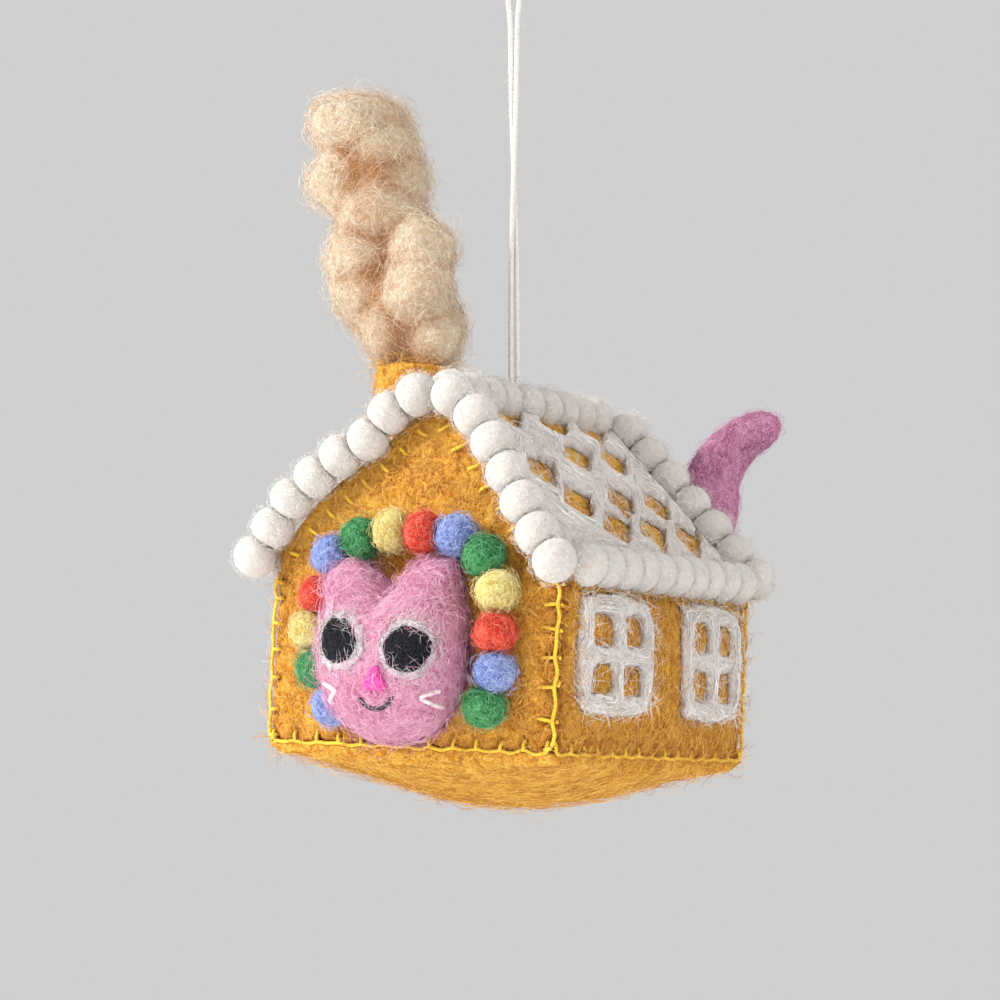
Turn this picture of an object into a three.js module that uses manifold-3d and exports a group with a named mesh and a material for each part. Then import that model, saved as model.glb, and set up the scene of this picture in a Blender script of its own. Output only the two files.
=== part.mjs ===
// A hanging ornament of wool felt: a small gingerbread house, stuffed and sewn from seven felt panels,
// with rows of white felt balls along every roof edge, needle-felted icing on the roof and windows,
// an arch of coloured felt balls round a cat's head on the front, the cat's tail behind, and a felt
// chimney with a puff of loose wool smoke. It hangs, tail a little low, from a doubled cotton cord.
// Millimetres, +Z up. The origin is the inside of the top of the cord's loop, where a hook holds it.

import * as THREE from "three";
import { mergeVertices } from "three/addons/utils/BufferGeometryUtils.js";
import Module from "manifold-3d";

const wasm = await Module();
wasm.setup();

// Felt and the gap that sewn pieces keep between them
const feltThickness = 2.5;
const clearance = 0.3;
const overrun = 4;

// House: walls, roof and how far each panel swells with the stuffing
const wallWidth = 78;
const wallDepth = 86;
const ridgeHeight = 81;
const eaveHeight = 40;
const eaveReach = 41;
const frontLean = 5;
const backLean = 4;
const frontSwell = 1.6;
const backSwell = 2;
const sideSwell = 3.4;
const roofSwell = 1.2;
const leftRoofSwell = 4.6;
const bellyDepth = 10.5;

// White felt balls along the roof's edges. A rake's balls start at a distance down its slope and keep
// a spacing; each stands off the slope by its own lift, uneven in front as the hand sewed them.
const trimBallRadius = 5;
const frontOverhang = 3.5;
const backOverhang = 0.6;
const frontRightStart = 5.9;
const frontRightSpacing = 8.2;
const frontRightLifts = [4.6, 6.2, 5.6, 4.2, 2.8, 1.2, 0.6];
const frontLeftStart = 2.3;
const frontLeftSpacing = 7.93;
const frontLeftLifts = [1.6, 3.6, 3, 5.2, 6.3, 6.9, 5.2, 3.5];
const backRakeStart = 4.5;
const backRakeSpacing = 8.45;
const backRakeLifts = [2.8, 2.8, 2.8, 2.8, 2.8, 2.8, 2.8];
const backLeftLifts = [2.8, 3, 3.6, 4.6, 5.2, 4.8, 2.8];
const eaveBallAcross = 41.4;
const eaveBallHeight = 42.3;
const eaveBalls = 10;
const ridgeBallLift = 1.6;
const ridgeFrontBalls = 4;
const ridgeBackBalls = 5;

// Needle-felted icing: roof lattice and windows. Each lattice hole is placed by its distance behind the
// roof's front edge and down from the ridge; from its middle a half length and a half width reach to
// two of its corners, in the same two directions.
const icingHeight = 1.1;
const latticeTop = 5.4;
const latticeBottom = 49.8;
const latticeInset = 4.6;
const latticeHoles = [
  [29, 5.5], [50, 5.5], [67.5, 5.5],
  [22.8, 25.8], [46.5, 18.8], [64.5, 17.6],
  [28.5, 35.5], [50.5, 33], [68.5, 32.3],
  [37.7, 43], [54.6, 43], [71.5, 42.5],
];
const holeHalfLength = [6.8, -2];
const holeHalfWidth = [-1.4, 5.6];
const windowWidth = 28.5;
const windowHeight = 26.5;
const windowSpacing = 43.6;
const windowCentreHeight = 22.5;
const windowBar = 4.2;
const windowRounding = 0.3;

// Arch of coloured balls round the doorway
const archBallAlong = 4.45;
const archBallAcross = 4.95;
const archBallDepth = 4.7;
const archBallSeat = 4.1;
const archHalfWidth = 26.1;
const archHalfHeight = 23;
const archLegLength = 30;
const archCentreAcross = 0.2;
const archCentreHeight = 26.3;
const archSquareness = 2.7;
const archBallCount = 14;
const archBallSpacing = 9.15;
// How far each ball was sewn off the even arch, across and up, from the lower right to the lower left
const archShifts = [
  [0.5, 1.6], [0.5, 0.6], [-0.2, 0.1], [0.4, 0.6], [0.3, 0], [0, 0], [0.2, -0.8],
  [0.7, -0.6], [1, -0.9], [1.3, -0.3], [2.9, -1.3], [1.5, -0.4], [3.1, 0.1], [5.6, 0.5],
];

// Cat's head: outline, the two ears and the dip between them, and how far it stands off the wall,
// less and less from the brow up to the tips of the ears
const { degToRad } = THREE.MathUtils;
const headCentreAcross = -0.6;
const headCentreHeight = 19.9;
const headHalfWidth = 18.4;
const headTopHeight = 17.9;
const headChinDepth = 19.4;
const headTopSquareness = 3.3;
const headChinSquareness = 1.95;
const headDepth = 16;
const headDomeSquareness = 4.5;
const ears = [
  { angle: degToRad(65.3), length: 7.2, spread: degToRad(18.3) },
  { angle: degToRad(127.9), length: 10.3, spread: degToRad(13.3) },
];
const browDip = 4.9;
const browSpread = degToRad(12);
const browHeight = 28;
const earTipHeight = 45;
const earThinShare = 0.63;
const eyes = { right: [10.5, 21.5], left: [-7.4, 22.6] };
const eyeRadius = 6.7;
const pupilRadius = 4.9;
const eyeThickness = 0.9;
const noseRadius = 2.7;
const noseAcross = 3.1;
const noseHeight = 14.2;
const noseThickness = 1.3;
const patchGap = 0.55;

// Chimney and its smoke
const chimneyRadius = 10;
const chimneyAcross = -15.8;
const chimneyAlong = -22.5;
const chimneyTop = 89.5;
const chimneyRounding = 1.6;

// Tail
const tailBaseRadius = 6.2;
const tailBellyRadius = 7.3;
const tailTipRadius = 4.2;
const tailRootDepth = 10;

// Cord: one doubled strand, its end knotted under the ridge
const cordDiameter = 1.3;
const cordDrop = 104;
const cordAlong = -5.1;
const cordBendHeight = 88.2;
const cordEndRadius = 1.6;
const cordEndLength = 13;
const knotRadius = 3;
const hangTilt = degToRad(4.85);

// How finely round forms are cut into faces
const ballDetail = 1;
const puffDetail = 1;

// Derived sizes
const roofSlope = (ridgeHeight - eaveHeight) / eaveReach;
const roofAngle = Math.atan(roofSlope);
const roofDrop = feltThickness / Math.cos(roofAngle);
const seamDrop = clearance / Math.cos(roofAngle);
const slopeLength = eaveReach / Math.cos(roofAngle);
const halfWidth = wallWidth / 2;
const halfDepth = wallDepth / 2;

const { lerp } = THREE.MathUtils;

// 1 in the middle of a panel and 0 at its edges, flat in between, for t from -1 to 1
const swell = (t) => 1 - Math.min(1, Math.abs(t)) ** 4;
// The same with a rounder crown
const crown = (t) => 1 - Math.min(1, Math.abs(t)) ** 2;

// Top of the roof, fuller on the left slope, and the line under it that the gable walls are cut to
const leftCrown = (x) => (x < 0 ? Math.sin(Math.PI * Math.min(1, -x / eaveReach) ** 2.2) : 0);
const roofTop = (x) => ridgeHeight - roofSlope * Math.abs(x) + leftRoofSwell * leftCrown(x);
const gableTop = (x) => roofTop(x) - roofDrop - seamDrop;
const leanShare = (z) => Math.max(0, (z - gableTop(halfWidth)) / (gableTop(0) - gableTop(halfWidth)));

// Outer faces of the walls, each swelling between its seams
const gableSwell = (x, z) => swell(x / halfWidth) * swell((2 * z) / gableTop(x) - 1);
const frontFace = (x, z) => -halfDepth + frontLean * leanShare(z) - frontSwell * gableSwell(x, z);
const backFace = (x, z) => halfDepth - backLean * leanShare(z) + backSwell * gableSwell(x, z);
const sideTop = gableTop(halfWidth);
const sideFace = (y, z) => halfWidth + sideSwell * swell(y / halfDepth) * swell((2 * z) / sideTop - 1);
const belly = (x, y) => bellyDepth * crown(x / halfWidth) * crown(y / halfDepth);

// Surface of the roof: down from 0 at the ridge to 1 at the eave, along from 0 at the front to 1 behind
const roofFront = (down) => -halfDepth + frontLean * (1 - down);
const roofBack = (down) => halfDepth - backLean * (1 - down);
const roofCrown = (down, along) => roofSwell * crown(2 * down - 1) * crown(2 * along - 1);
function roofPoint(side, down, along, lift) {
  const x = eaveReach * down;
  const y = lerp(roofFront(down), roofBack(down), along);
  const z = roofTop(side * x) + roofCrown(down, along) + lift / Math.cos(roofAngle);
  return [side * x, y, z];
}

// A box cut into nx by ny by nz cells whose corners, shares from 0 to 1, are moved by place
function block(nx, ny, nz, place) {
  const geometry = new THREE.BoxGeometry(1, 1, 1, nx, ny, nz);
  const points = geometry.attributes.position;
  for (let i = 0; i < points.count; i++) {
    const moved = place(points.getX(i) + 0.5, points.getY(i) + 0.5, points.getZ(i) + 0.5);
    points.setXYZ(i, ...moved);
  }
  return geometry;
}

// A low dome on a surface: radiusAt gives its outline by angle, back and front its two faces' depths
function relief(across, height, radiusAt, back, front, rings, spokes) {
  const positions = [];
  const index = [];
  const faces = [front, back];
  const ringStart = (face, ring) => 2 + (face * (rings - 1) + ring - 1) * spokes;
  const rimStart = ringStart(1, rings);
  positions.push(across, front(across, height, 0), height);
  positions.push(across, back(across, height, 0), height);
  const addRing = (face, ring) => {
    for (let spoke = 0; spoke < spokes; spoke++) {
      const angle = (2 * Math.PI * spoke) / spokes;
      const reach = (radiusAt(angle) * ring) / rings;
      const x = across + reach * Math.cos(angle);
      const z = height + reach * Math.sin(angle);
      positions.push(x, faces[face](x, z, ring / rings), z);
    }
  };
  for (const face of [0, 1]) for (let ring = 1; ring < rings; ring++) addRing(face, ring);
  addRing(1, rings);
  const startOf = (face, ring) => (ring === rings ? rimStart : ringStart(face, ring));
  for (const face of [0, 1]) {
    const add = (a, b, c) => index.push(...(face === 0 ? [a, b, c] : [a, c, b]));
    for (let spoke = 0; spoke < spokes; spoke++) {
      const next = (spoke + 1) % spokes;
      add(face, startOf(face, 1) + spoke, startOf(face, 1) + next);
      for (let ring = 1; ring < rings; ring++) {
        const inner = startOf(face, ring);
        const outer = startOf(face, ring + 1);
        add(inner + spoke, outer + spoke, outer + next);
        add(inner + spoke, outer + next, inner + next);
      }
    }
  }
  const geometry = new THREE.BufferGeometry();
  geometry.setAttribute("position", new THREE.Float32BufferAttribute(positions, 3));
  geometry.setIndex(index);
  return geometry;
}

// A form turned round the z axis from a profile of [radius, height] points, bottom to top
function turned(profile, sides) {
  const points = profile.map(([radius, height]) => new THREE.Vector2(radius, height));
  return new THREE.LatheGeometry(points, sides).rotateX(Math.PI / 2);
}

// A tapering round limb along a curve, with radiusAt giving its radius by share of the length
function limb(curve, radiusAt, steps, sides) {
  const frames = curve.computeFrenetFrames(steps, false);
  const positions = [];
  const index = [];
  for (let step = 0; step <= steps; step++) {
    const centre = curve.getPointAt(step / steps);
    const radius = radiusAt(step / steps);
    for (let k = 0; k < sides; k++) {
      const angle = (2 * Math.PI * k) / sides;
      const p = centre
        .clone()
        .addScaledVector(frames.normals[step], radius * Math.cos(angle))
        .addScaledVector(frames.binormals[step], radius * Math.sin(angle));
      positions.push(p.x, p.y, p.z);
    }
  }
  const start = positions.length / 3;
  positions.push(...curve.getPointAt(0), ...curve.getPointAt(1));
  const last = steps * sides;
  for (let k = 0; k < sides; k++) {
    const next = (k + 1) % sides;
    for (let step = 0; step < steps; step++) {
      const [low, high] = [step * sides, (step + 1) * sides];
      index.push(low + k, low + next, high + next, low + k, high + next, high + k);
    }
    index.push(start, next, k, start + 1, last + k, last + next);
  }
  const geometry = new THREE.BufferGeometry();
  geometry.setAttribute("position", new THREE.Float32BufferAttribute(positions, 3));
  geometry.setIndex(index);
  return geometry;
}

function toSolid(geometry) {
  const bare = geometry.clone();
  bare.deleteAttribute("normal");
  bare.deleteAttribute("uv");
  const merged = mergeVertices(bare);
  return new wasm.Manifold(
    new wasm.Mesh({
      numProp: 3,
      vertProperties: new Float32Array(merged.attributes.position.array),
      triVerts: new Uint32Array(merged.index.array),
    }),
  );
}

function toGeometry(solid) {
  const { vertProperties, triVerts } = solid.getMesh();
  const geometry = new THREE.BufferGeometry();
  geometry.setAttribute("position", new THREE.Float32BufferAttribute(vertProperties, 3));
  geometry.setIndex(Array.from(triVerts));
  geometry.computeVertexNormals();
  return geometry;
}

const join = (solids) => solids.reduce((whole, solid) => whole.add(solid));
const cut = (solid, cutters) => cutters.reduce((left, cutter) => left.subtract(cutter), solid);

// Felt colours
const wool = (colour, roughness = 0.95) =>
  new THREE.MeshStandardMaterial({ color: colour, roughness, metalness: 0 });
const gingerbread = wool(0xd8933a);
const icing = wool(0xe9e3df);
const ballWhite = wool(0xf1ebe4);
const catPink = wool(0xdf93b4);
const tailPink = wool(0xc97aa3);
const smokeBeige = wool(0xe3c49d);
const eyeWhite = wool(0xe6d9dc);
const eyeBlack = wool(0x1f1e22);
const nosePink = wool(0xf25bb4);
const cottonWhite = wool(0xf2ece6, 0.85);
const fillingWhite = wool(0xe8e2d8);
const archColours = {
  blue: wool(0x8f9fd6),
  green: wool(0x2f8a4c),
  yellow: wool(0xe4d57c),
  red: wool(0xe0493b),
};

// Walls, each a felt panel that follows its face; grow makes a larger copy to cut neighbours with
function gableWall(face, inward, grow, thickness = feltThickness) {
  return toSolid(
    block(8, 1, 8, (a, b, c) => {
      const x = (2 * a - 1) * (halfWidth + grow);
      const z = -grow + c * (gableTop(THREE.MathUtils.clamp(x, -halfWidth, halfWidth)) + 2 * grow);
      const depth = inward > 0 ? b : 1 - b;
      const y = face(x, Math.max(0, z)) + inward * (depth * (thickness + 2 * grow) - grow);
      return [x, y, z];
    }),
  );
}

const sideEnd = halfDepth - feltThickness - 2 * clearance;
function sideWall(side, grow) {
  return toSolid(
    block(1, 8, 5, (a, b, c) => {
      const y = (2 * b - 1) * (sideEnd + grow);
      const z = -grow + c * (gableTop(side * halfWidth) + 2 * grow);
      const out = side > 0 ? a : 1 - a;
      const x = sideFace(y, Math.max(0, z)) - feltThickness - grow + out * (feltThickness + 2 * grow);
      return [side * x, y, z];
    }),
  );
}

function basePanel() {
  return toSolid(
    block(8, 8, 1, (a, b, c) => {
      const x = (2 * a - 1) * halfWidth;
      const y = (2 * b - 1) * halfDepth;
      return [x, y, -clearance - belly(x, y) - (1 - c) * feltThickness];
    }),
  );
}

// A roof panel: lifted above its face by above, reaching below its face by below, both upright
function roofPanel(side, above, below, grow) {
  return toSolid(
    block(6, 6, 1, (a, b, c) => {
      const share = side > 0 ? a : 1 - a;
      const ridgeEdge = clearance / 2 - grow;
      const x = lerp(ridgeEdge, eaveReach + grow, share);
      const down = Math.max(0, Math.min(1, x / eaveReach));
      const y = lerp(roofFront(down) - grow, roofBack(down) + grow, b);
      const z = roofTop(side * x) + c * (roofCrown(down, b) + above) - (1 - c) * below;
      return [side * x, y, z];
    }),
  );
}
// A panel's copy that clears the balls and whatever of them would stick out below the felt
const grownRoof = (side) => roofPanel(side, seamDrop, roofDrop + overrun, clearance);
// Everything below one slope of the roof, to stand a piece on it
const underRoof = (side) => roofPanel(side, seamDrop, ridgeHeight - feltThickness, overrun);

// The stuffing fills the space inside the panels: one layer in the belly, the others up to the roof.
// It stays a little slack of the walls, and fills a share of the belly's depth.
const stuffingLayers = 7;
const stuffingSlack = 0.9;
const stuffingBellyShare = 0.8;
function stuffing() {
  return toSolid(
    block(6, 6, stuffingLayers, (a, b, c) => {
      const inset = feltThickness + clearance + stuffingSlack;
      const flatX = (2 * a - 1) * (halfWidth - inset);
      const flatY = (2 * b - 1) * (halfDepth - inset);
      const layer = c * stuffingLayers - 1;
      const top = gableTop(flatX) - clearance;
      const below = stuffingBellyShare * belly(flatX, flatY);
      const z = layer < 0 ? clearance - below : lerp(2 * clearance, top, layer / (stuffingLayers - 1));
      const wallZ = Math.max(0, z);
      const x = flatX + (2 * a - 1) * (sideFace(flatY, Math.min(wallZ, sideTop)) - halfWidth);
      const y = lerp(frontFace(flatX, wallZ) + inset, backFace(flatX, wallZ) - inset, b);
      return [x, y, z];
    }),
  );
}

// The cord's two ends, laid together through the ridge to the knot that holds them in the stuffing.
// Its bend, where the house tips on the cord, is at the top, at height 0.
function cordEnd(grow) {
  const shaft = cordEndRadius + grow;
  const knot = knotRadius + grow;
  const knotHeight = -cordEndLength;
  const knotSteps = 8;
  const profile = [[0, knotHeight - knot]];
  const meet = Math.asin(shaft / knot);
  for (let step = 1; step < knotSteps; step++) {
    const angle = (step / knotSteps) * (Math.PI - meet);
    profile.push([knot * Math.sin(angle), knotHeight - knot * Math.cos(angle)]);
  }
  profile.push([shaft, knotHeight + knot * Math.cos(meet)]);
  profile.push([shaft, grow], [0, grow]);
  return turned(profile, 12);
}
const cordSocket = toSolid(
  cordEnd(clearance)
    .rotateX(hangTilt)
    .translate(0, cordAlong, cordBendHeight),
);

// Rows of white balls, sewn so close that each row is one string
const ballAt = (x, y, z) =>
  toSolid(new THREE.IcosahedronGeometry(trimBallRadius, ballDetail).translate(x, y, z));
const roofCutters = [grownRoof(1), grownRoof(-1)];
const wallCutters = [
  gableWall(frontFace, 1, clearance),
  gableWall(backFace, -1, clearance),
  sideWall(1, clearance),
  sideWall(-1, clearance),
];
const trimRow = (balls) => cut(join(balls), [...roofCutters, ...wallCutters]);

// Centre of a ball that stands off a slope by lift, at a distance down it from the ridge
function overSlope(distance, lift) {
  const across = distance * Math.cos(roofAngle) + lift * Math.sin(roofAngle);
  const rise = ridgeHeight - distance * Math.sin(roofAngle) + lift * Math.cos(roofAngle);
  return [across, rise];
}
function rakeRow(side, yAt, start, spacing, lifts) {
  const balls = lifts.map((lift, i) => {
    const distance = start + i * spacing;
    const [across, rise] = overSlope(distance, lift);
    return ballAt(side * across, yAt(Math.min(1, distance / slopeLength)), rise);
  });
  return trimRow(balls);
}
const frontRowY = (down) => roofFront(down) - frontOverhang;
const backRowY = (down) => roofBack(down) + backOverhang;

const rowGap = 2 * trimBallRadius + clearance;
function eaveRow(side) {
  const balls = [];
  for (let place = 0; place < eaveBalls; place++) {
    const y = lerp(frontRowY(1) + rowGap, backRowY(1) - rowGap, place / (eaveBalls - 1));
    balls.push(ballAt(side * eaveBallAcross, y, eaveBallHeight));
  }
  return trimRow(balls);
}

// The ridge row starts behind the first balls of the rakes and parts where the cord comes out
const ridgeBallRise = ridgeHeight + ridgeBallLift;
function reachPast(distance, lift) {
  const [across, rise] = overSlope(distance, lift);
  return Math.sqrt(rowGap ** 2 - across ** 2 - (rise - ridgeBallRise) ** 2);
}
const ridgeFrontStart = frontRowY(0) + reachPast(frontLeftStart, frontLeftLifts[0]);
const ridgeBackEnd = backRowY(0) - reachPast(backRakeStart, backRakeLifts[0]);
const besideCord = rowGap / 2;
function ridgeRow(from, to, count) {
  const balls = [];
  for (let place = 0; place < count; place++) {
    balls.push(ballAt(0, lerp(from, to, place / (count - 1)), ridgeBallRise));
  }
  return cut(join(balls), [...roofCutters, cordSocket]);
}

// Chimney: a rolled felt plug standing on the left slope
function chimneyForm(grow) {
  const radius = chimneyRadius + grow;
  const top = chimneyTop + grow;
  const profile = [
    [0, eaveHeight],
    [radius, eaveHeight],
    [radius, top - chimneyRounding],
    [radius - chimneyRounding * 0.3, top - chimneyRounding * 0.3],
    [radius - chimneyRounding, top],
    [0, top],
  ];
  return toSolid(turned(profile, 20).translate(chimneyAcross, chimneyAlong, 0));
}
const grownChimney = chimneyForm(clearance);
const chimney = cut(chimneyForm(0), [underRoof(-1)]);

// Smoke: puffs of loose wool, each [across, along, height, radius across, radius up] as shares of the
// smoke's height above the chimney, from the chimney's middle
const smokeHeight = 64;
const puffShares = [
  [-0.34, -0.03, 0.925, 0.168, 0.105],
  [-0.27, 0.07, 0.9, 0.115, 0.105],
  [-0.225, 0.01, 0.81, 0.13, 0.11],
  [-0.36, -0.045, 0.703, 0.124, 0.12],
  [-0.19, 0.045, 0.703, 0.135, 0.124],
  [-0.2, -0.02, 0.577, 0.142, 0.12],
  [0, 0, 0.43, 0.12, 0.135],
  [-0.267, -0.015, 0.408, 0.142, 0.135],
  [-0.2, 0.075, 0.49, 0.127, 0.127],
  [-0.236, 0.015, 0.275, 0.15, 0.127],
  [0.02, -0.045, 0.273, 0.124, 0.12],
  [0.02, 0.045, 0.154, 0.112, 0.112],
  [-0.13, -0.03, 0.13, 0.112, 0.12],
  [0.1, -0.015, 0.081, 0.097, 0.09],
  [-0.086, 0.045, 0.108, 0.127, 0.097],
];
function smoke() {
  const puffs = puffShares.map(([across, along, rise, wide, tall]) =>
    toSolid(
      new THREE.IcosahedronGeometry(1, puffDetail)
        .scale(wide * smokeHeight, wide * smokeHeight, tall * smokeHeight)
        .translate(
          chimneyAcross + across * smokeHeight,
          chimneyAlong + along * smokeHeight,
          chimneyTop + rise * smokeHeight,
        ),
    ),
  );
  return cut(join(puffs), [grownChimney]);
}

// Icing lattice: a thin felted sheet on each slope, open in diamonds
function lattice(side) {
  const downAt = (distance) => distance / slopeLength;
  const alongAt = (down, y) => (y - roofFront(down)) / (roofBack(down) - roofFront(down));
  const sheet = toSolid(
    block(6, 6, 1, (a, b, c) => {
      const share = side > 0 ? a : 1 - a;
      const down = downAt(lerp(latticeTop, latticeBottom, share));
      const y = lerp(roofFront(down) + latticeInset, roofBack(down) - latticeInset, b);
      return roofPoint(side, down, alongAt(down, y), clearance + c * icingHeight);
    }),
  );
  const cutters = latticeHoles.map(([behind, below]) =>
    toSolid(
      block(1, 1, 1, (a, b, c) => {
        const [lengths, widths] = [side * (b - 0.5) - (a - 0.5), side * (b - 0.5) + (a - 0.5)];
        const y = behind - halfDepth + lengths * holeHalfLength[0] + widths * holeHalfWidth[0];
        const distance = below + lengths * holeHalfLength[1] + widths * holeHalfWidth[1];
        const down = downAt(Math.max(latticeTop / 2, distance));
        return roofPoint(side, down, alongAt(down, y), lerp(-overrun, overrun, c));
      }),
    ),
  );
  return cut(sheet, side < 0 ? [...cutters, grownChimney] : cutters);
}

// Windows: a rounded icing frame with four panes left open, following the swell of the side wall
function windowFrame(side, middle) {
  const onWall = (y, z, lift) => [side * (sideFace(y, z) + clearance + lift), y, z];
  const rounded = (p, q) => p * Math.sqrt(1 - windowRounding * q * q);
  const sheet = toSolid(
    block(1, 5, 5, (a, b, c) => {
      const [p, q] = [2 * b - 1, 2 * c - 1];
      const y = middle + (rounded(p, q) * windowWidth) / 2;
      const z = windowCentreHeight + (rounded(q, p) * windowHeight) / 2;
      return onWall(y, z, (side > 0 ? a : 1 - a) * icingHeight);
    }),
  );
  const paneWidth = (windowWidth - 3 * windowBar) / 2;
  const paneHeight = (windowHeight - 3 * windowBar) / 2;
  const panes = [];
  for (const across of [-1, 1]) {
    for (const up of [-1, 1]) {
      const y = middle + (across * (windowBar + paneWidth)) / 2;
      const z = windowCentreHeight + (up * (windowBar + paneHeight)) / 2;
      panes.push(
        toSolid(
          block(1, 1, 1, (a, b, c) =>
            onWall(
              y + (b - 0.5) * paneWidth,
              z + (c - 0.5) * paneHeight,
              lerp(-overrun, overrun, side > 0 ? a : 1 - a),
            ),
          ),
        ),
      );
    }
  }
  return cut(sheet, panes);
}

// Coloured balls, evenly spaced round the doorway from the lower right over to the lower left
const archColourOrder = [
  "green", "blue", "red", "yellow", "green", "blue", "red",
  "yellow", "green", "blue", "red", "yellow", "green", "blue",
];
class Arch extends THREE.Curve {
  getPoint(share) {
    const half = ((archBallCount - 1) * archBallSpacing) / (archHalfWidth + archHalfHeight);
    const angle = Math.PI / 2 - half + 2 * half * share;
    const power = 2 / archSquareness;
    const reach = (value) => Math.sign(value) * Math.abs(value) ** power;
    const upright = angle > 0 && angle < Math.PI ? archHalfHeight : archLegLength;
    return new THREE.Vector3(
      archCentreAcross + archHalfWidth * reach(Math.cos(angle)),
      0,
      archCentreHeight + upright * reach(Math.sin(angle)),
    );
  }
}
const arch = new Arch();
const archLength = arch.getLength();
function archBall(place, grow) {
  const slack = archLength - (archBallCount - 1) * archBallSpacing;
  const share = (slack / 2 + place * archBallSpacing) / archLength;
  const even = arch.getPointAt(share);
  const heading = arch.getTangentAt(share);
  const [x, z] = [even.x + archShifts[place][0], even.z + archShifts[place][1]];
  const form = new THREE.IcosahedronGeometry(1, ballDetail)
    .scale(archBallAlong + grow, archBallDepth + grow, archBallAcross + grow)
    .rotateY(-Math.atan2(heading.z, heading.x))
    .translate(x, frontFace(x, z) - archBallSeat, z);
  return grow > 0 ? toSolid(form) : cut(toSolid(form), [wallCutters[0]]);
}

// Cat's head: a rounded pad with two ears, domed forward and flat against the wall
function headRadius(angle) {
  const isTop = Math.sin(angle) > 0;
  const power = isTop ? headTopSquareness : headChinSquareness;
  const side = Math.abs(Math.cos(angle) / headHalfWidth) ** power;
  const up = Math.abs(Math.sin(angle) / (isTop ? headTopHeight : headChinDepth)) ** power;
  const turn = ((angle + Math.PI / 2) % (2 * Math.PI)) - Math.PI / 2;
  const bump = (at, spread, sharpness) => Math.exp(-(Math.abs((turn - at) / spread) ** sharpness));
  const raised = ears.reduce((sum, ear) => sum + ear.length * bump(ear.angle, ear.spread, 2.5), 0);
  return (side + up) ** (-1 / power) + raised - browDip * bump(Math.PI / 2, browSpread, 2);
}
const headBack = (x, z) => frontFace(x, z) - clearance;
const headDome = (share, z) => {
  const rise = THREE.MathUtils.clamp((z - browHeight) / (earTipHeight - browHeight), 0, 1);
  return (1 - earThinShare * rise) * Math.sqrt(1 - Math.min(1, share) ** headDomeSquareness);
};
function headShare(x, z) {
  const [across, up] = [x - headCentreAcross, z - headCentreHeight];
  const angle = Math.atan2(up, across);
  return Math.hypot(across, up) / headRadius(angle < -Math.PI / 2 ? angle + 2 * Math.PI : angle);
}
const headFront = (x, z) => headBack(x, z) - headDepth * headDome(headShare(x, z), z);
const head = relief(
  headCentreAcross,
  headCentreHeight,
  headRadius,
  (x, z) => headBack(x, z),
  (x, z, share) => headBack(x, z) - headDepth * headDome(share, z),
  7,
  40,
);

// Eyes and nose: felted patches that follow the head
function patch(across, height, radiusAt, lift, thickness, spokes) {
  const back = (x, z) => headFront(x, z) - lift;
  const front = (x, z, share) => back(x, z) - thickness * crown(share);
  return relief(across, height, radiusAt, back, front, 4, spokes);
}
const noseRadiusAt = (angle) => noseRadius * (1 - 0.22 * Math.sin(3 * angle));
const eyeAt = (at) => patch(...at, () => eyeRadius, patchGap, eyeThickness, 14);
const pupilLift = 2 * patchGap + eyeThickness;
const pupilAt = (at) => patch(...at, () => pupilRadius, pupilLift, eyeThickness, 11);

// Tail: rises from the back wall and curls outward; points as shares of the half width, depth and ridge
const tailShares = [
  [0.43, 0.96, 0.545],
  [0.5, 1.1, 0.6],
  [0.54, 1.22, 0.68],
  [0.55, 1.26, 0.775],
  [0.57, 1.26, 0.855],
  [0.64, 1.26, 0.92],
  [0.78, 1.26, 0.98],
  [1.03, 1.25, 1.035],
];
function tail() {
  const curve = new THREE.CatmullRomCurve3(
    tailShares.map(
      ([across, along, rise]) =>
        new THREE.Vector3(across * halfWidth, along * halfDepth, rise * ridgeHeight),
    ),
  );
  const radiusAt = (share) => {
    const body = lerp(tailBaseRadius, tailBellyRadius, Math.sin(Math.min(1, share / 0.6) * Math.PI * 0.5));
    const taper = share < 0.5 ? body : lerp(body, tailTipRadius, (share - 0.5) / 0.5);
    return taper * (share > 0.9 ? Math.sqrt(1 - 0.7 * ((share - 0.9) / 0.1) ** 2) : 1);
  };
  const behindWall = gableWall(backFace, -1, clearance, tailRootDepth);
  return cut(toSolid(limb(curve, radiusAt, 14, 12)), [behindWall]);
}

// Cord: from the bend up one leg, round the loop and down the other; each point is [across, along, up]
const cordRoute = [
  [-0.62, -0.4, -103.55],
  [-0.62, -0.4, -96],
  [-0.48, -0.56, -83],
  [-0.08, -0.73, -69],
  [0.38, -0.63, -55],
  [0.69, -0.28, -41],
  [0.73, 0.12, -29],
  [0.8, 0.38, -18.5],
  [1.7, 0.35, -11.5],
  [2.9, 0.15, -6.2],
  [2.8, 0, -2.1],
  [1.6, 0, 0.1],
  [0, 0, 0.65],
  [-1.6, 0, 0.1],
  [-2.8, 0, -2.1],
  [-2.9, -0.15, -6.2],
  [-1.7, -0.35, -11.5],
  [-0.8, -0.38, -18.5],
  [-0.73, -0.12, -29],
  [-0.69, 0.28, -41],
  [-0.38, 0.63, -55],
  [0.08, 0.73, -69],
  [0.48, 0.56, -83],
  [0.62, 0.4, -96],
  [0.62, 0.4, -103.55],
];
function hangingCord() {
  const route = new THREE.CatmullRomCurve3(cordRoute.map((point) => new THREE.Vector3(...point)));
  const section = new THREE.Shape();
  const sides = 8;
  for (let k = 0; k < sides; k++) {
    const angle = (2 * Math.PI * k) / sides;
    const [x, y] = [(cordDiameter / 2) * Math.cos(angle), (cordDiameter / 2) * Math.sin(angle)];
    if (k === 0) section.moveTo(x, y);
    else section.lineTo(x, y);
  }
  return new THREE.ExtrudeGeometry(section, { steps: 44, extrudePath: route, bevelEnabled: false });
}

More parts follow.
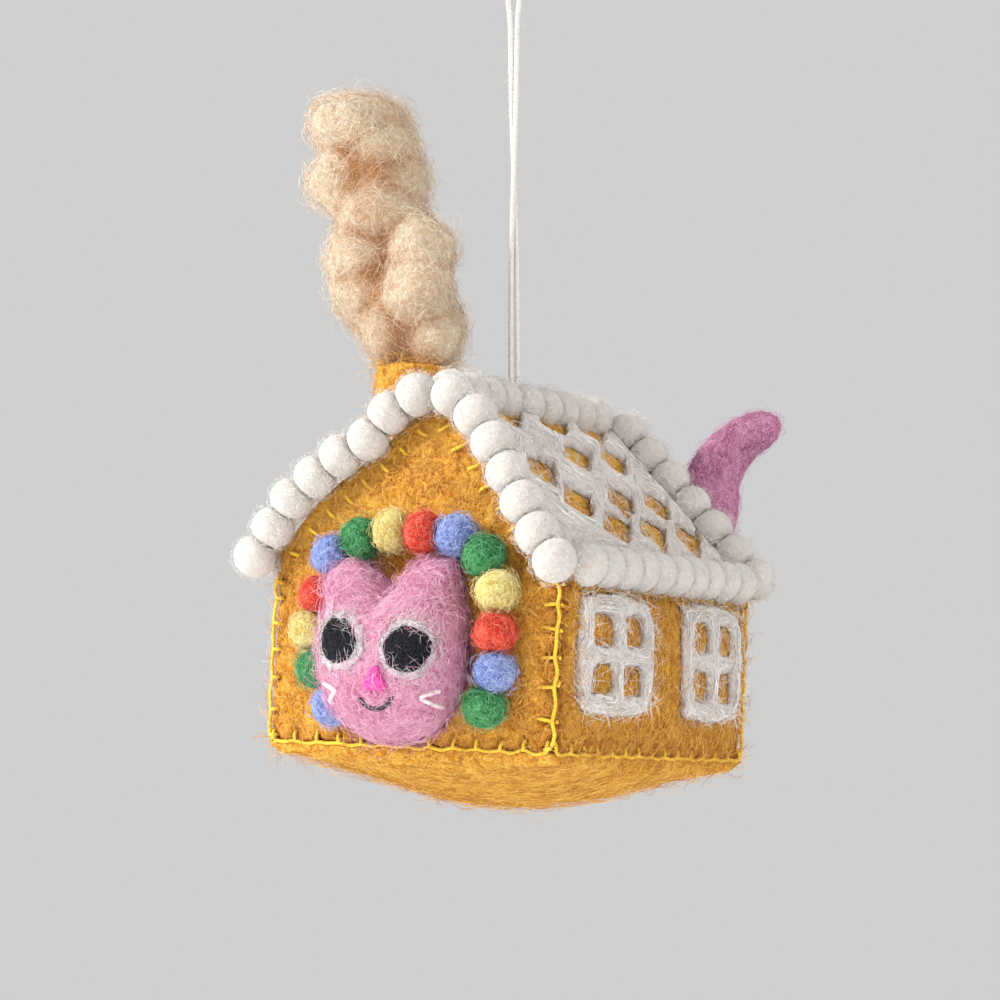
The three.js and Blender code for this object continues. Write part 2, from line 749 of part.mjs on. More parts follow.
// Assembly. The house hangs from the bend of its cord, tipped back by hangTilt.
const ornament = new THREE.Group();
const swing = new THREE.Group();
swing.position.set(0, 0, -cordDrop);
swing.rotation.x = -hangTilt;
const house = new THREE.Group();
house.position.set(0, -cordAlong, -cordBendHeight);
swing.add(house);
ornament.add(swing);

function place(parent, name, form, material) {
  const geometry = form.isBufferGeometry ? form : toGeometry(form);
  const mesh = new THREE.Mesh(geometry, material);
  mesh.name = name;
  parent.add(mesh);
  return mesh;
}

place(house, "front_wall", gableWall(frontFace, 1, 0), gingerbread);
place(house, "back_wall", gableWall(backFace, -1, 0), gingerbread);
place(house, "right_wall", sideWall(1, 0), gingerbread);
place(house, "left_wall", sideWall(-1, 0), gingerbread);
place(house, "base_panel", basePanel(), gingerbread);
for (const [name, side] of [["right", 1], ["left", -1]]) {
  place(house, `roof_panel_${name}`, cut(roofPanel(side, 0, roofDrop, 0), [cordSocket]), gingerbread);
  place(house, `roof_lattice_${name}`, lattice(side), icing);
  place(house, `window_${name}_front`, windowFrame(side, -windowSpacing / 2), icing);
  place(house, `window_${name}_back`, windowFrame(side, windowSpacing / 2), icing);
  place(house, `eave_balls_${name}`, eaveRow(side), ballWhite);
  const backLifts = side > 0 ? backRakeLifts : backLeftLifts;
  const backRow = rakeRow(side, backRowY, backRakeStart, backRakeSpacing, backLifts);
  place(house, `back_rake_balls_${name}`, backRow, ballWhite);
}
const rightRow = rakeRow(1, frontRowY, frontRightStart, frontRightSpacing, frontRightLifts);
const leftRow = rakeRow(-1, frontRowY, frontLeftStart, frontLeftSpacing, frontLeftLifts);
place(house, "front_rake_balls_right", rightRow, ballWhite);
place(house, "front_rake_balls_left", leftRow, ballWhite);
const ridgeFront = ridgeRow(ridgeFrontStart, cordAlong - besideCord, ridgeFrontBalls);
const ridgeBack = ridgeRow(cordAlong + besideCord, ridgeBackEnd, ridgeBackBalls);
place(house, "ridge_balls_front", ridgeFront, ballWhite);
place(house, "ridge_balls_back", ridgeBack, ballWhite);
place(house, "stuffing", cut(stuffing(), [cordSocket]), fillingWhite);
place(house, "chimney", chimney, gingerbread);
place(house, "smoke_puff", smoke(), smokeBeige);
const ballGaps = archShifts.map((shift, i) => archBall(i, clearance));
place(house, "cat_head", cut(toSolid(head), ballGaps), catPink);
for (const [name, at] of Object.entries(eyes)) {
  place(house, `eye_white_${name}`, eyeAt(at), eyeWhite);
  place(house, `pupil_${name}`, pupilAt(at), eyeBlack);
}
const nose = patch(noseAcross, noseHeight, noseRadiusAt, patchGap, noseThickness, 9);
place(house, "nose", nose, nosePink);
place(house, "cat_tail", tail(), tailPink);
// Each ball of the arch is pressed flat by the next one
archColourOrder.forEach((colour, i) => {
  const number = String(i + 1).padStart(2, "0");
  const ball = cut(archBall(i, 0), ballGaps.slice(i + 1, i + 2));
  place(house, `arch_ball_${number}_${colour}`, ball, archColours[colour]);
});
place(ornament, "cord_end", cordEnd(0).translate(0, 0, -cordDrop), cottonWhite);
place(ornament, "hanging_cord", hangingCord(), cottonWhite);

export default ornament;
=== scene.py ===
"""The hanging felt house, dressed: felt panels, sewn balls, needled wool and thread over the fixed frame.

Lengths in this script are millimetres in the house's own frame (x across, y from the front wall at -43 to
the back wall at 43, z up from the base seam) and become metres in the shared frame in to_frame. The cord's
points have the shared frame's axes already, in millimetres. The camera, the floor and the lamps are placed
in the shared frame's metres.
"""

import functools
import math

import bpy
import numpy as np
from mathutils import Matrix


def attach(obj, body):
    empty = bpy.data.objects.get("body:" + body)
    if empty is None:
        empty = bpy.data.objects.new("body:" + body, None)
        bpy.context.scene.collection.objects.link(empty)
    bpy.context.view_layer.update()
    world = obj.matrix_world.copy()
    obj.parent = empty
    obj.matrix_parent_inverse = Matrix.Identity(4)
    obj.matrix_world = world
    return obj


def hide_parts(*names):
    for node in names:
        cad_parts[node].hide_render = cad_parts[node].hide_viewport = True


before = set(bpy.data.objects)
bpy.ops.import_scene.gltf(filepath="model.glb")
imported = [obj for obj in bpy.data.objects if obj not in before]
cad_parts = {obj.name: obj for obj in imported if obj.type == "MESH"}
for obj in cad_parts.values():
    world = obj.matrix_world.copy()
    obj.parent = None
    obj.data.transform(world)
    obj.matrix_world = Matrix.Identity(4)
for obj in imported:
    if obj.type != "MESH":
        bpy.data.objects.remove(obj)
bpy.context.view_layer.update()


def new_object(name, data):
    """An object of the given data, put into the scene."""
    obj = bpy.data.objects.new(name, data)
    bpy.context.scene.collection.objects.link(obj)
    return obj


# Camera at the photograph's angle
camera_data = bpy.data.cameras.new("photo_camera")
camera_data.lens = 120.616
camera_data.sensor_width = 36
camera_data.clip_start = 0.01
camera = new_object("photo_camera", camera_data)
camera.location = (0.43256, -0.67327, -0.13176)
camera.rotation_euler = [math.radians(a) for a in (89.9251, 0.0422, 32.9625)]
bpy.context.scene.camera = camera

# House sizes, as the frame has them
FELT, PANEL_GAP = 2.5, 2.9
HALF_WIDTH, HALF_DEPTH = 39.0, 43.0
RIDGE, EAVE_REACH = 81.0, 41.0
SLOPE_LENGTH = EAVE_REACH * math.sqrt(2)
LEFT_SWELL, ROOF_SWELL = 4.6, 1.2
FRONT_LEAN, BACK_LEAN = 5.0, 4.0
SIDE_SWELL, FRONT_SWELL, BACK_SWELL = 3.4, 1.6, 2.0
BELLY_DEPTH, SEAM = 10.5, 0.3
ROOF_DROP, SEAM_DROP = FELT * math.sqrt(2), SEAM * math.sqrt(2)
HANG_TILT = math.radians(4.85)
CORD_ALONG, BEND_HEIGHT, CORD_DROP = -5.1, 88.2, 104.0
CHIMNEY, CHIMNEY_RADIUS = (-15.8, -22.5, 89.5), 10.0
SIDES = {"right": 1, "left": -1}

# Where the blanket stitches sit along the seams, and how far their legs reach
FRONT_SPOTS = np.arange(-38, 38.1, 6.3) + 0.2
LONG_SPOTS = np.arange(-42, 42.1, 6.0)
CORNER_SPOTS = np.array([1.0, 6.9, 14.5, 21.1, 27.3, 33.0, 37.5])
CORNER_LEGS = np.array([2.0, 4.2, 4.4, 4.0, 3.8, 3.6, 2.0])
BASE_LEG, SMALL_LEG = 2.3, 1.6


def to_frame(points):
    """House millimetres to shared metres: turn by the hang tilt about the cord's bend, then drop to it."""
    q = np.asarray(points, float) - (0, CORD_ALONG, BEND_HEIGHT)
    c, s = math.cos(HANG_TILT), math.sin(HANG_TILT)
    y = q[..., 1] * c + q[..., 2] * s
    z = -q[..., 1] * s + q[..., 2] * c - CORD_DROP
    return xyz(q[..., 0], y, z) / 1000


# Numbers and noise
def unit(v):
    """Each vector divided by its length."""
    return v / np.maximum(np.linalg.norm(v, axis=-1, keepdims=True), 1e-12)


def dot(a, b):
    """Sum of the products along the last axis, kept as an axis."""
    return np.sum(a * b, -1, keepdims=True)


def xyz(x, y, z):
    """Points from three coordinates, each a grid or a single number."""
    return np.stack(np.broadcast_arrays(x, y, z), -1)


def grid(*axes):
    """Coordinates of a grid's points, a whole grid of them for each axis."""
    return np.meshgrid(*axes, indexing="ij")


def circle(count):
    """Angles of even steps round a circle."""
    return np.linspace(0, 2 * np.pi, count, endpoint=False)


def value_noise(p, size, seed):
    """Random values on a lattice of the given size, blended smoothly between, from -1 to 1."""
    table = np.random.RandomState(seed).uniform(-1, 1, (32, 32, 32))
    q = np.asarray(p) / size
    cell = np.floor(q).astype(int)
    f = q - cell
    f = f * f * (3 - 2 * f)
    total = 0
    for corner in range(8):
        step = np.array([corner & 1, corner >> 1 & 1, corner >> 2 & 1])
        weight = np.prod(np.where(step, f, 1 - f), axis=-1)
        i, j, k = np.moveaxis((cell + step) % 32, -1, 0)
        total = total + weight * table[i, j, k]
    return total


def lumps(p, size, seed, octaves=3):
    """Noise at the given size plus finer noise at half the size and half the height, and so on."""
    return sum(value_noise(p, size / 2**k, seed + k) / 2**k for k in range(octaves))


def swell(t):
    """One in the middle and nought at -1 and 1, flat between: one less the fourth power."""
    return 1 - np.minimum(1, np.abs(t)) ** 4


def crown(t):
    """One in the middle and nought at -1 and 1: one less the square."""
    return 1 - np.minimum(1, np.abs(t)) ** 2


def edge_drop(distance, radius):
    """How far a rounded edge falls back at a distance from the edge: a quarter circle of that radius."""
    t = 1 - np.clip(distance / radius, 0, 1)
    return radius * (1 - np.sqrt(1 - t * t))


def spread(count, crowd):
    """Shares from 0 to 1, crowded towards both ends by a sine term."""
    t = np.linspace(0, 1, count)
    return t - crowd * np.sin(2 * np.pi * t) / (2 * np.pi)


def pinch(along, inward, places, legs, depth=0.9, width=1.0):
    """Dents where stitches pull the felt down: a bell across each leg that fades past the leg's end."""
    across = (along[..., None] - places) / width
    past = np.clip((inward[..., None] - legs) / 1.3, 0, None)
    return depth * np.exp(-(across**2) - past**2).sum(-1)


def seam_shade(points, axis):
    """How much painted shade a wall's points take in the folds at its stitches, from nought to one: bells at
    the pinches and a painted shade falling from the wall's edge inward. axis 0 is for the front and back, 1
    for the sides."""
    along, z = points[:, axis], points[:, 2]
    corner = (HALF_WIDTH, HALF_DEPTH)[axis] - np.abs(along)
    folds = pinch(along, z, (FRONT_SPOTS, LONG_SPOTS)[axis], BASE_LEG, 0.75, 1.1)
    folds = folds + pinch(z, corner, CORNER_SPOTS, 1.8, 0.7, 1.1)
    return np.clip(folds + 0.55 * np.exp(-np.minimum(z, corner) / 1.6), 0, 1)


# The house's faces
def roof_top(x):
    """Height of the roof's felt: falls at 45 degrees from the ridge, fuller on the left slope."""
    share = np.minimum(1, np.abs(x) / EAVE_REACH)
    full = np.where(x < 0, np.sin(np.pi * share**2.2), 0)
    return RIDGE - np.abs(x) + LEFT_SWELL * full


def gable_top(x):
    """Height of the roof's under side, where the walls end."""
    return roof_top(x) - ROOF_DROP - SEAM_DROP


def lean_share(z):
    """How far up the gable a height is: nought at the eave and one at the ridge."""
    return np.maximum(0, (z - gable_top(HALF_WIDTH)) / (gable_top(0) - gable_top(HALF_WIDTH)))


def gable_swell(x, z):
    """Swelling of a gable wall: one in its middle and nought at its seams."""
    return swell(x / HALF_WIDTH) * swell(2 * z / gable_top(x) - 1)


def front_face(x, z):
    """Depth of the front wall's face: upright, leaning back above the eave, swollen in the middle."""
    return -HALF_DEPTH + FRONT_LEAN * lean_share(z) - FRONT_SWELL * gable_swell(x, z)


def back_face(x, z):
    """Depth of the back wall's face, as the front one mirrored with its own lean and swelling."""
    return HALF_DEPTH - BACK_LEAN * lean_share(z) + BACK_SWELL * gable_swell(x, z)


def side_face(y, z):
    """How far out a side wall's face is: half the width and a swelling between its seams."""
    return HALF_WIDTH + SIDE_SWELL * swell(y / HALF_DEPTH) * swell(2 * z / gable_top(HALF_WIDTH) - 1)


def belly(x, y):
    """How deep the base hangs: a crown across times a crown along."""
    return BELLY_DEPTH * crown(x / HALF_WIDTH) * crown(y / HALF_DEPTH)


def roof_front(down):
    """Depth of a slope's front edge at a share down from the ridge."""
    return -HALF_DEPTH + FRONT_LEAN * (1 - down)


def roof_back(down):
    """Depth of a slope's back edge at a share down from the ridge."""
    return HALF_DEPTH - BACK_LEAN * (1 - down)


def roof_point(side, down, y, lift):
    """Point on a slope: across by the share down, at depth y, lifted square to the slope."""
    along = (y - roof_front(down)) / (roof_back(down) - roof_front(down))
    full = ROOF_SWELL * crown(2 * down - 1) * crown(2 * along - 1)
    x = side * EAVE_REACH * down
    return xyz(x, y, roof_top(x) + full + lift * math.sqrt(2))


# Meshes
def triangles(faces):
    """Every face as triangles, quads cut along one diagonal."""
    parts = [f if f.shape[1] == 3 else np.concatenate([f[:, [0, 1, 2]], f[:, [0, 2, 3]]]) for f in faces]
    return np.concatenate(parts)


def outward(points, faces):
    """The same faces, all turned round where the volume they enclose comes out negative."""
    t = points[triangles(faces)]
    volume = np.einsum("ij,ij->i", t[:, 0], np.cross(t[:, 1], t[:, 2])).sum()
    return faces if volume > 0 else [f[:, ::-1] for f in faces]


def grid_quads(rows, columns, start=0, wrap=False):
    """Quads of a rows by columns grid of points, joined round in the second direction if wrapped."""
    i, j = grid(np.arange(rows - 1), np.arange(columns if wrap else columns - 1))
    i, j, nxt = i * columns, j, (j + 1) % columns
    return np.stack([i + j, i + nxt, i + columns + nxt, i + columns + j], -1).reshape(-1, 4) + start


def slab(outer, inner):
    """A closed panel between two grids of points of the same size, with a rim round its border."""
    rows, columns = outer.shape[:2]
    points = np.concatenate([outer.reshape(-1, 3), inner.reshape(-1, 3)])
    ids = np.arange(rows * columns).reshape(rows, columns)
    rim = np.concatenate([ids[0], ids[1:, -1], ids[-1, -2::-1], ids[-2:0:-1, 0]])
    nxt = np.roll(rim, -1)
    far = rows * columns
    faces = [
        grid_quads(rows, columns),
        grid_quads(rows, columns, far)[:, ::-1],
        np.stack([nxt, rim, rim + far, nxt + far], -1),
    ]
    return points, outward(points, faces)


def closed_rings(rings, first, last):
    """A closed form from rings of points, one after another, with a pole point at each end."""
    rows, columns = rings.shape[:2]
    points = np.concatenate([[first], rings.reshape(-1, 3), [last]])
    ids = np.arange(columns)
    nxt = (ids + 1) % columns
    end = 1 + (rows - 1) * columns
    faces = [
        grid_quads(rows, columns, 1, wrap=True),
        np.stack([0 * ids, 1 + nxt, 1 + ids], -1),
        np.stack([0 * ids + rows * columns + 1, end + ids, end + nxt], -1),
    ]
    return points, outward(points, faces)


def join(parts):
    """Several meshes as one: points one after another, faces shifted to match."""
    points, faces, start = [], {3: [], 4: []}, 0
    for p, fs in parts:
        points.append(p)
        for f in fs:
            faces[f.shape[1]].append(f + start)
        start += len(p)
    return np.concatenate(points), [np.concatenate(f) for f in faces.values() if f]


def strands(paths, ups, radii, sides=3):
    """Threads along paths (strand, step, xyz): a ring of points round each inner step, a point at each end.

    The ring lies square to the path; ups gives the direction its first point leans away from.
    """
    count, steps = paths.shape[:2]
    tangent = unit(np.gradient(paths, axis=1))
    side = unit(np.cross(tangent, ups))
    other = np.cross(side, tangent)
    angle = 2 * np.pi * np.arange(sides) / sides
    if np.ndim(radii) < 3:
        radii = np.broadcast_to(np.asarray(radii)[..., None], (count, steps, sides))
    around = np.cos(angle)[:, None] * side[:, 1:-1, None] + np.sin(angle)[:, None] * other[:, 1:-1, None]
    rings = paths[:, 1:-1, None] + radii[:, 1:-1, :, None] * around
    points = np.concatenate([paths[:, :1], rings.reshape(count, -1, 3), paths[:, -1:]], axis=1)
    size = points.shape[1]
    ids = np.arange(sides)
    nxt = (ids + 1) % sides
    end = 1 + (steps - 3) * sides
    first_tip = np.stack([0 * ids, 1 + ids, 1 + nxt], -1)
    last_tip = np.stack([0 * ids + size - 1, end + nxt, end + ids], -1)
    tips = np.concatenate([first_tip, last_tip])
    quads = grid_quads(steps - 2, sides, 1, wrap=True)[:, ::-1]
    shift = (np.arange(count) * size)[:, None, None]
    return points.reshape(-1, 3), [(tips + shift).reshape(-1, 3), (quads + shift).reshape(-1, 4)]


def ico_sphere(level):
    """A unit ball of triangles: an icosahedron cut finer and pushed out to the sphere."""
    g = (1 + math.sqrt(5)) / 2
    p = [(-1, g, 0), (1, g, 0), (-1, -g, 0), (1, -g, 0), (0, -1, g), (0, 1, g)]
    p += [(0, -1, -g), (0, 1, -g), (g, 0, -1), (g, 0, 1), (-g, 0, -1), (-g, 0, 1)]
    f = [(0, 11, 5), (0, 5, 1), (0, 1, 7), (0, 7, 10), (0, 10, 11), (1, 5, 9), (5, 11, 4)]
    f += [(11, 10, 2), (10, 7, 6), (7, 1, 8), (3, 9, 4), (3, 4, 2), (3, 2, 6), (3, 6, 8)]
    f += [(3, 8, 9), (4, 9, 5), (2, 4, 11), (6, 2, 10), (8, 6, 7), (9, 8, 1)]
    p, f = unit(np.array(p, float)), np.array(f)
    for _ in range(level):
        edges = np.sort(f[:, [[0, 1], [1, 2], [2, 0]]].reshape(-1, 2), axis=1)
        pairs, place = np.unique(edges, axis=0, return_inverse=True)
        middle = len(p) + place.reshape(-1, 3)
        p = np.concatenate([p, unit(p[pairs].sum(1))])
        a, b, c = f.T
        ab, bc, ca = middle.T
        f = np.concatenate([np.stack(t, -1) for t in ((a, ab, ca), (ab, b, bc), (ca, bc, c), (ab, bc, ca))])
    return p, f


def piece(name, shape, slot, material=None, body="house", nodes=(), tint=None, framed=False):
    """Puts a shape into a mesh object that rides on a body and stands for the given frame nodes, in the
    fabric of its slot or in the material given. Framed shapes have the shared frame's axes already."""
    points, faces = shape
    points = points / 1000 if framed else to_frame(points)
    mesh = bpy.data.meshes.new(name)
    corners = np.concatenate([f.ravel() for f in faces])
    sizes = np.concatenate([np.full(len(f), f.shape[1]) for f in faces])
    mesh.vertices.add(len(points))
    mesh.vertices.foreach_set("co", points.astype(np.float32).ravel())
    mesh.loops.add(len(corners))
    mesh.loops.foreach_set("vertex_index", corners.astype(np.int32))
    mesh.polygons.add(len(sizes))
    mesh.polygons.foreach_set("loop_start", np.concatenate([[0], np.cumsum(sizes)[:-1]]).astype(np.int32))
    mesh.polygons.foreach_set("use_smooth", np.ones(len(sizes), bool))
    if tint is not None:
        mesh.attributes.new("tint", "FLOAT", "POINT").data.foreach_set("value", tint.astype(np.float32))
    mesh.update(calc_edges=True)
    mesh.materials.append(material or FABRICS[slot])
    obj = new_object(name, mesh)
    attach(obj, body)
    if nodes:
        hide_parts(*nodes)
    return obj


# Materials
def srgb(r, g, b):
    """A colour given as 0 to 255 in sRGB, as linear light."""
    c = np.array([r, g, b]) / 255
    return (*np.where(c <= 0.04045, c / 12.92, ((c + 0.055) / 1.055) ** 2.4), 1.0)


def wire(tree, node, values):
    """A node's inputs, each given as a value or as another node's output."""
    for key, value in dict(values).items():
        if isinstance(value, bpy.types.NodeSocket):
            tree.links.new(value, node.inputs[key])
        else:
            node.inputs[key].default_value = value
    return node


def add(tree, kind, values=(), **settings):
    """A new node with its settings and its inputs."""
    node = tree.nodes.new(kind)
    for key, value in settings.items():
        setattr(node, key, value)
    return wire(tree, node, values)


def combine(tree, a, b, operation="ADD"):
    """Two values joined by a math operation."""
    return add(tree, "ShaderNodeMath", {0: a, 1: b}, operation=operation).outputs[0]


def times(tree, a, b):
    """The product of two values."""
    return combine(tree, a, b, "MULTIPLY")


def remap(tree, value, low, high, to_low=0.0, to_high=1.0):
    """A value carried from one range to another, held at its ends."""
    values = {"Value": value, "From Min": low, "From Max": high, "To Min": to_low, "To Max": to_high}
    return add(tree, "ShaderNodeMapRange", values).outputs["Result"]


def blend_colour(tree, share, a, b):
    """Colour a turning to colour b by a share."""
    return add(tree, "ShaderNodeMix", {0: share, 6: a, 7: b}, data_type="RGBA").outputs[2]


def noise(tree, vector, scale, detail, distortion=0.0):
    """Cloud noise at a scale, from 0 to 1 about a half."""
    values = {"Vector": vector, "Scale": scale, "Detail": detail, "Distortion": distortion}
    return add(tree, "ShaderNodeTexNoise", values).outputs["Fac"]


def relief(tree, height, strength, depth):
    """Normals from a height, at most as deep as given in metres."""
    values = {"Height": height, "Strength": strength, "Distance": depth}
    return add(tree, "ShaderNodeBump", values).outputs["Normal"]


def felted_wool():
    """Node group: felted wool. Broad and fine mottling from Deep through Base to Pale; single fibres, the
    level lines of warped noise, in Pale and in Deep; Height rises along them. Vector is in millimetres."""
    tree = bpy.data.node_groups.new("felted_wool", "ShaderNodeTree")
    sockets = {"Vector": "Vector", "Base": "Color", "Pale": "Color", "Deep": "Color", "Mottling": "Float",
               "Fibres": "Float"}
    for name, kind in sockets.items():
        tree.interface.new_socket(name, in_out="INPUT", socket_type="NodeSocket" + kind)
    tree.interface.new_socket("Color", in_out="OUTPUT", socket_type="NodeSocketColor")
    tree.interface.new_socket("Height", in_out="OUTPUT", socket_type="NodeSocketFloat")
    given = add(tree, "NodeGroupInput").outputs
    at = given["Vector"]
    broad = noise(tree, at, 0.14, 3, 0.6)
    fine = noise(tree, at, 0.8, 4, 0.8)
    mottle = combine(tree, times(tree, broad, 0.45), times(tree, fine, 0.55))
    deep_share = times(tree, remap(tree, mottle, 0.53, 0.42), given["Mottling"])
    pale_patch = times(tree, remap(tree, mottle, 0.5, 0.6), given["Mottling"])
    colour = blend_colour(tree, deep_share, given["Base"], given["Deep"])
    colour = blend_colour(tree, times(tree, pale_patch, 0.6), colour, given["Pale"])

    def fibre_lines(scale, shift, width):
        moved = add(tree, "ShaderNodeVectorMath", {0: at, 1: shift}, operation="ADD").outputs[0]
        level = combine(tree, noise(tree, moved, scale, 1.0, 1.4), 0.5, "SUBTRACT")
        return remap(tree, combine(tree, level, 0, "ABSOLUTE"), 0, width, 1, 0)

    pale = fibre_lines(0.5, (31, 7, 3), 0.035), fibre_lines(0.9, (5, 41, 17), 0.05)
    dark = fibre_lines(0.6, (13, 3, 59), 0.035), fibre_lines(1.1, (43, 23, 9), 0.05)
    pale, dark = (combine(tree, *lines, "MAXIMUM") for lines in (pale, dark))
    dark_share = times(tree, times(tree, dark, given["Fibres"]), 0.8)
    colour = blend_colour(tree, dark_share, colour, given["Deep"])
    colour = blend_colour(tree, times(tree, pale, given["Fibres"]), colour, given["Pale"])
    height = combine(tree, times(tree, pale, 0.5), times(tree, fine, 1.2))
    height = combine(tree, height, times(tree, dark, 0.4), "SUBTRACT")
    add(tree, "NodeGroupOutput", {"Color": colour, "Height": height})
    return tree


FELTED_WOOL, FABRICS = felted_wool(), {}


def start_material(name):
    """A new material, kept under its name, with its node tree and its shader."""
    material = FABRICS[name] = bpy.data.materials.new(name)
    material.use_nodes = True
    tree = material.node_tree
    return material, tree, tree.nodes["Principled BSDF"]


def in_millimetres(tree):
    """The object's own place in millimetres, for patterns."""
    place = add(tree, "ShaderNodeTexCoord").outputs["Object"]
    return add(tree, "ShaderNodeMapping", {"Vector": place, "Scale": (1000, 1000, 1000)}).outputs["Vector"]


def felt(name, base, pale, deep, mottling, fibres, sheen=0.2, bump=0.9, painted_shade_colour=None, painted_rim_light=0.0):
    """Felt: the wool group's colour and height, dull, with a soft sheen from its nap; where a painted shade
    colour is given, the tint attribute paints shade by turning the wool towards it. Painted rim light pales
    it at its outline."""
    _, tree, shader = start_material(name)
    base, pale, deep = (srgb(*colour) for colour in (base, pale, deep))
    wool = add(tree, "ShaderNodeGroup", {
        "Vector": in_millimetres(tree), "Base": base, "Pale": pale, "Deep": deep, "Mottling": mottling,
        "Fibres": fibres,
    }, node_tree=FELTED_WOOL).outputs
    colour = wool["Color"]
    if painted_shade_colour:
        # painted shade: the tint attribute blends the wool towards the shade colour
        depth = add(tree, "ShaderNodeAttribute", attribute_name="tint").outputs["Fac"]
        colour = blend_colour(tree, depth, colour, srgb(*painted_shade_colour))
    if painted_rim_light:
        # painted rim light: paler where the surface turns away from the view
        rim = add(tree, "ShaderNodeLayerWeight", {"Blend": 0.35}).outputs["Facing"]
        colour = blend_colour(tree, times(tree, rim, painted_rim_light), colour, pale)
    wire(tree, shader, {
        "Base Color": colour, "Normal": relief(tree, wool["Height"], bump, 6e-4), "Roughness": 0.95,
        "Specular IOR Level": 0.12, "Sheen Weight": sheen, "Sheen Roughness": 0.5, "Sheen Tint": pale,
        "Subsurface Weight": 0.3, "Subsurface Radius": (1.0, 0.8, 0.6), "Subsurface Scale": 0.0015,
    })


def loose_fibres(name, pale, deep):
    """Single wool fibres: each its own shade between two colours, by the tint attribute."""
    material, tree, shader = start_material(name)
    tint = add(tree, "ShaderNodeAttribute", attribute_name="tint").outputs["Fac"]
    cloud = noise(tree, in_millimetres(tree), 0.3, 2)
    share = combine(tree, times(tree, tint, 0.85), times(tree, cloud, 0.15))
    shades = blend_colour(tree, share, srgb(*pale), srgb(*deep))
    wire(tree, shader, {"Base Color": shades, "Roughness": 0.6, "Specular IOR Level": 0.3})
    return material


def thread(name, base, deep):
    """Spun thread: fine hairs across it in a darker shade."""
    material, tree, shader = start_material(name)
    hairs = noise(tree, in_millimetres(tree), 3.0, 3, 1.0)
    shades = blend_colour(tree, remap(tree, hairs, 0.45, 0.65), srgb(*base), srgb(*deep))
    raised = relief(tree, hairs, 0.4, 2e-4)
    wire(tree, shader, {"Base Color": shades, "Normal": raised, "Roughness": 0.7, "Sheen Weight": 0.1})
    return material


# Each felt's colours (base, pale, deep), mottling and fibres, and where they differ its sheen, bump, painted
# shade colour and painted rim light
for name, *look in (
    # gingerbread's last colour is the painted shade for the folds at its stitches and along its seams
    ("gingerbread_felt", (250, 174, 53), (253, 207, 104), (172, 92, 20), 0.95, 0.7, 0.2, 1.0, (138, 66, 16)),
    ("white_ball_felt", (217, 212, 206), (227, 223, 218), (199, 188, 179), 0.25, 0.5, 0.3, 0.7),
    ("icing_wool", (232, 225, 221), (248, 245, 242), (198, 180, 170), 0.6, 0.7),
    ("cat_pink_felt", (230, 158, 186), (240, 197, 214), (186, 98, 138), 0.8, 0.7),
    ("tail_pink_felt", (214, 140, 176), (236, 178, 208), (164, 88, 128), 0.9, 0.7),
    # smoke's last colour is the painted shade where puffs meet and near the spine; 0.8 is its painted rim
    # light
    ("smoke_wool", (231, 212, 180), (241, 232, 214), (214, 174, 128), 0.7, 0.8, 0.4, 0.9, (182, 120, 62),
     0.8),
    ("eye_white_wool", (232, 222, 225), (247, 243, 244), (206, 168, 184), 0.6, 0.7),
    ("pupil_wool", (27, 27, 32), (60, 62, 72), (10, 10, 13), 0.6, 0.6, 0.05),
    ("nose_wool", (246, 84, 182), (252, 146, 210), (208, 50, 144), 0.6, 0.5),
    ("filling", (232, 226, 216), (246, 242, 236), (206, 196, 182), 0.5, 0.5),
    ("green_ball_felt", (36, 126, 62), (112, 180, 126), (10, 74, 34), 0.9, 0.8),
    ("blue_ball_felt", (122, 141, 203), (186, 200, 236), (76, 94, 166), 0.9, 0.8),
    ("red_ball_felt", (228, 64, 46), (246, 130, 104), (168, 30, 24), 0.9, 0.7),
    ("yellow_ball_felt", (228, 207, 116), (246, 236, 176), (188, 160, 70), 0.9, 0.8),
):
    felt(name, *look)
thread("cotton_cord", (224, 220, 214), (198, 190, 180))
YELLOW_THREAD = thread("yellow_thread", (238, 198, 48), (214, 160, 26))
BLACK_THREAD = thread("black_thread", (30, 27, 31), (16, 14, 18))
WHITE_YARN = thread("white_yarn", (232, 226, 220), (208, 196, 190))
FIBRES = {name: loose_fibres(f"{name}_fibres", *colours) for name, colours in {
    "ochre": ((254, 206, 104), (174, 92, 18)),
    "white": ((238, 235, 231), (224, 217, 210)),
    "icing": ((252, 250, 247), (222, 212, 205)),
    "pink": ((243, 201, 220), (202, 112, 152)),
    "tail": ((242, 184, 214), (186, 106, 148)),
    "smoke": ((242, 233, 213), (190, 136, 80)),
    "black": ((50, 51, 60), (18, 17, 21)),
    "nose": ((254, 146, 212), (228, 70, 162)),
    "cotton": ((232, 229, 224), (206, 198, 188)),
    "green": ((132, 196, 146), (26, 106, 50)),
    "blue": ((198, 210, 242), (100, 120, 188)),
    "red": ((250, 142, 116), (198, 46, 34)),
    "yellow": ((250, 241, 188), (206, 182, 88)),
}.items()}


# Cord: one strand, up from the bend, round the loop and down again
CORD_ROUTE = np.array([
    (-0.62, -0.4, -103.55), (-0.62, -0.4, -96), (-0.48, -0.56, -83), (-0.08, -0.73, -69), (0.38, -0.63, -55),
    (0.69, -0.28, -41), (0.73, 0.12, -29), (0.8, 0.38, -18.5), (1.7, 0.35, -11.5), (2.9, 0.15, -6.2),
    (2.8, 0, -2.1), (1.6, 0, 0.1), (0, 0, 0.65), (-1.6, 0, 0.1), (-2.8, 0, -2.1), (-2.9, -0.15, -6.2),
    (-1.7, -0.35, -11.5), (-0.8, -0.38, -18.5), (-0.73, -0.12, -29), (-0.69, 0.28, -41), (-0.38, 0.63, -55),
    (0.08, 0.73, -69), (0.48, 0.56, -83), (0.62, 0.4, -96), (0.62, 0.4, -103.55),
])


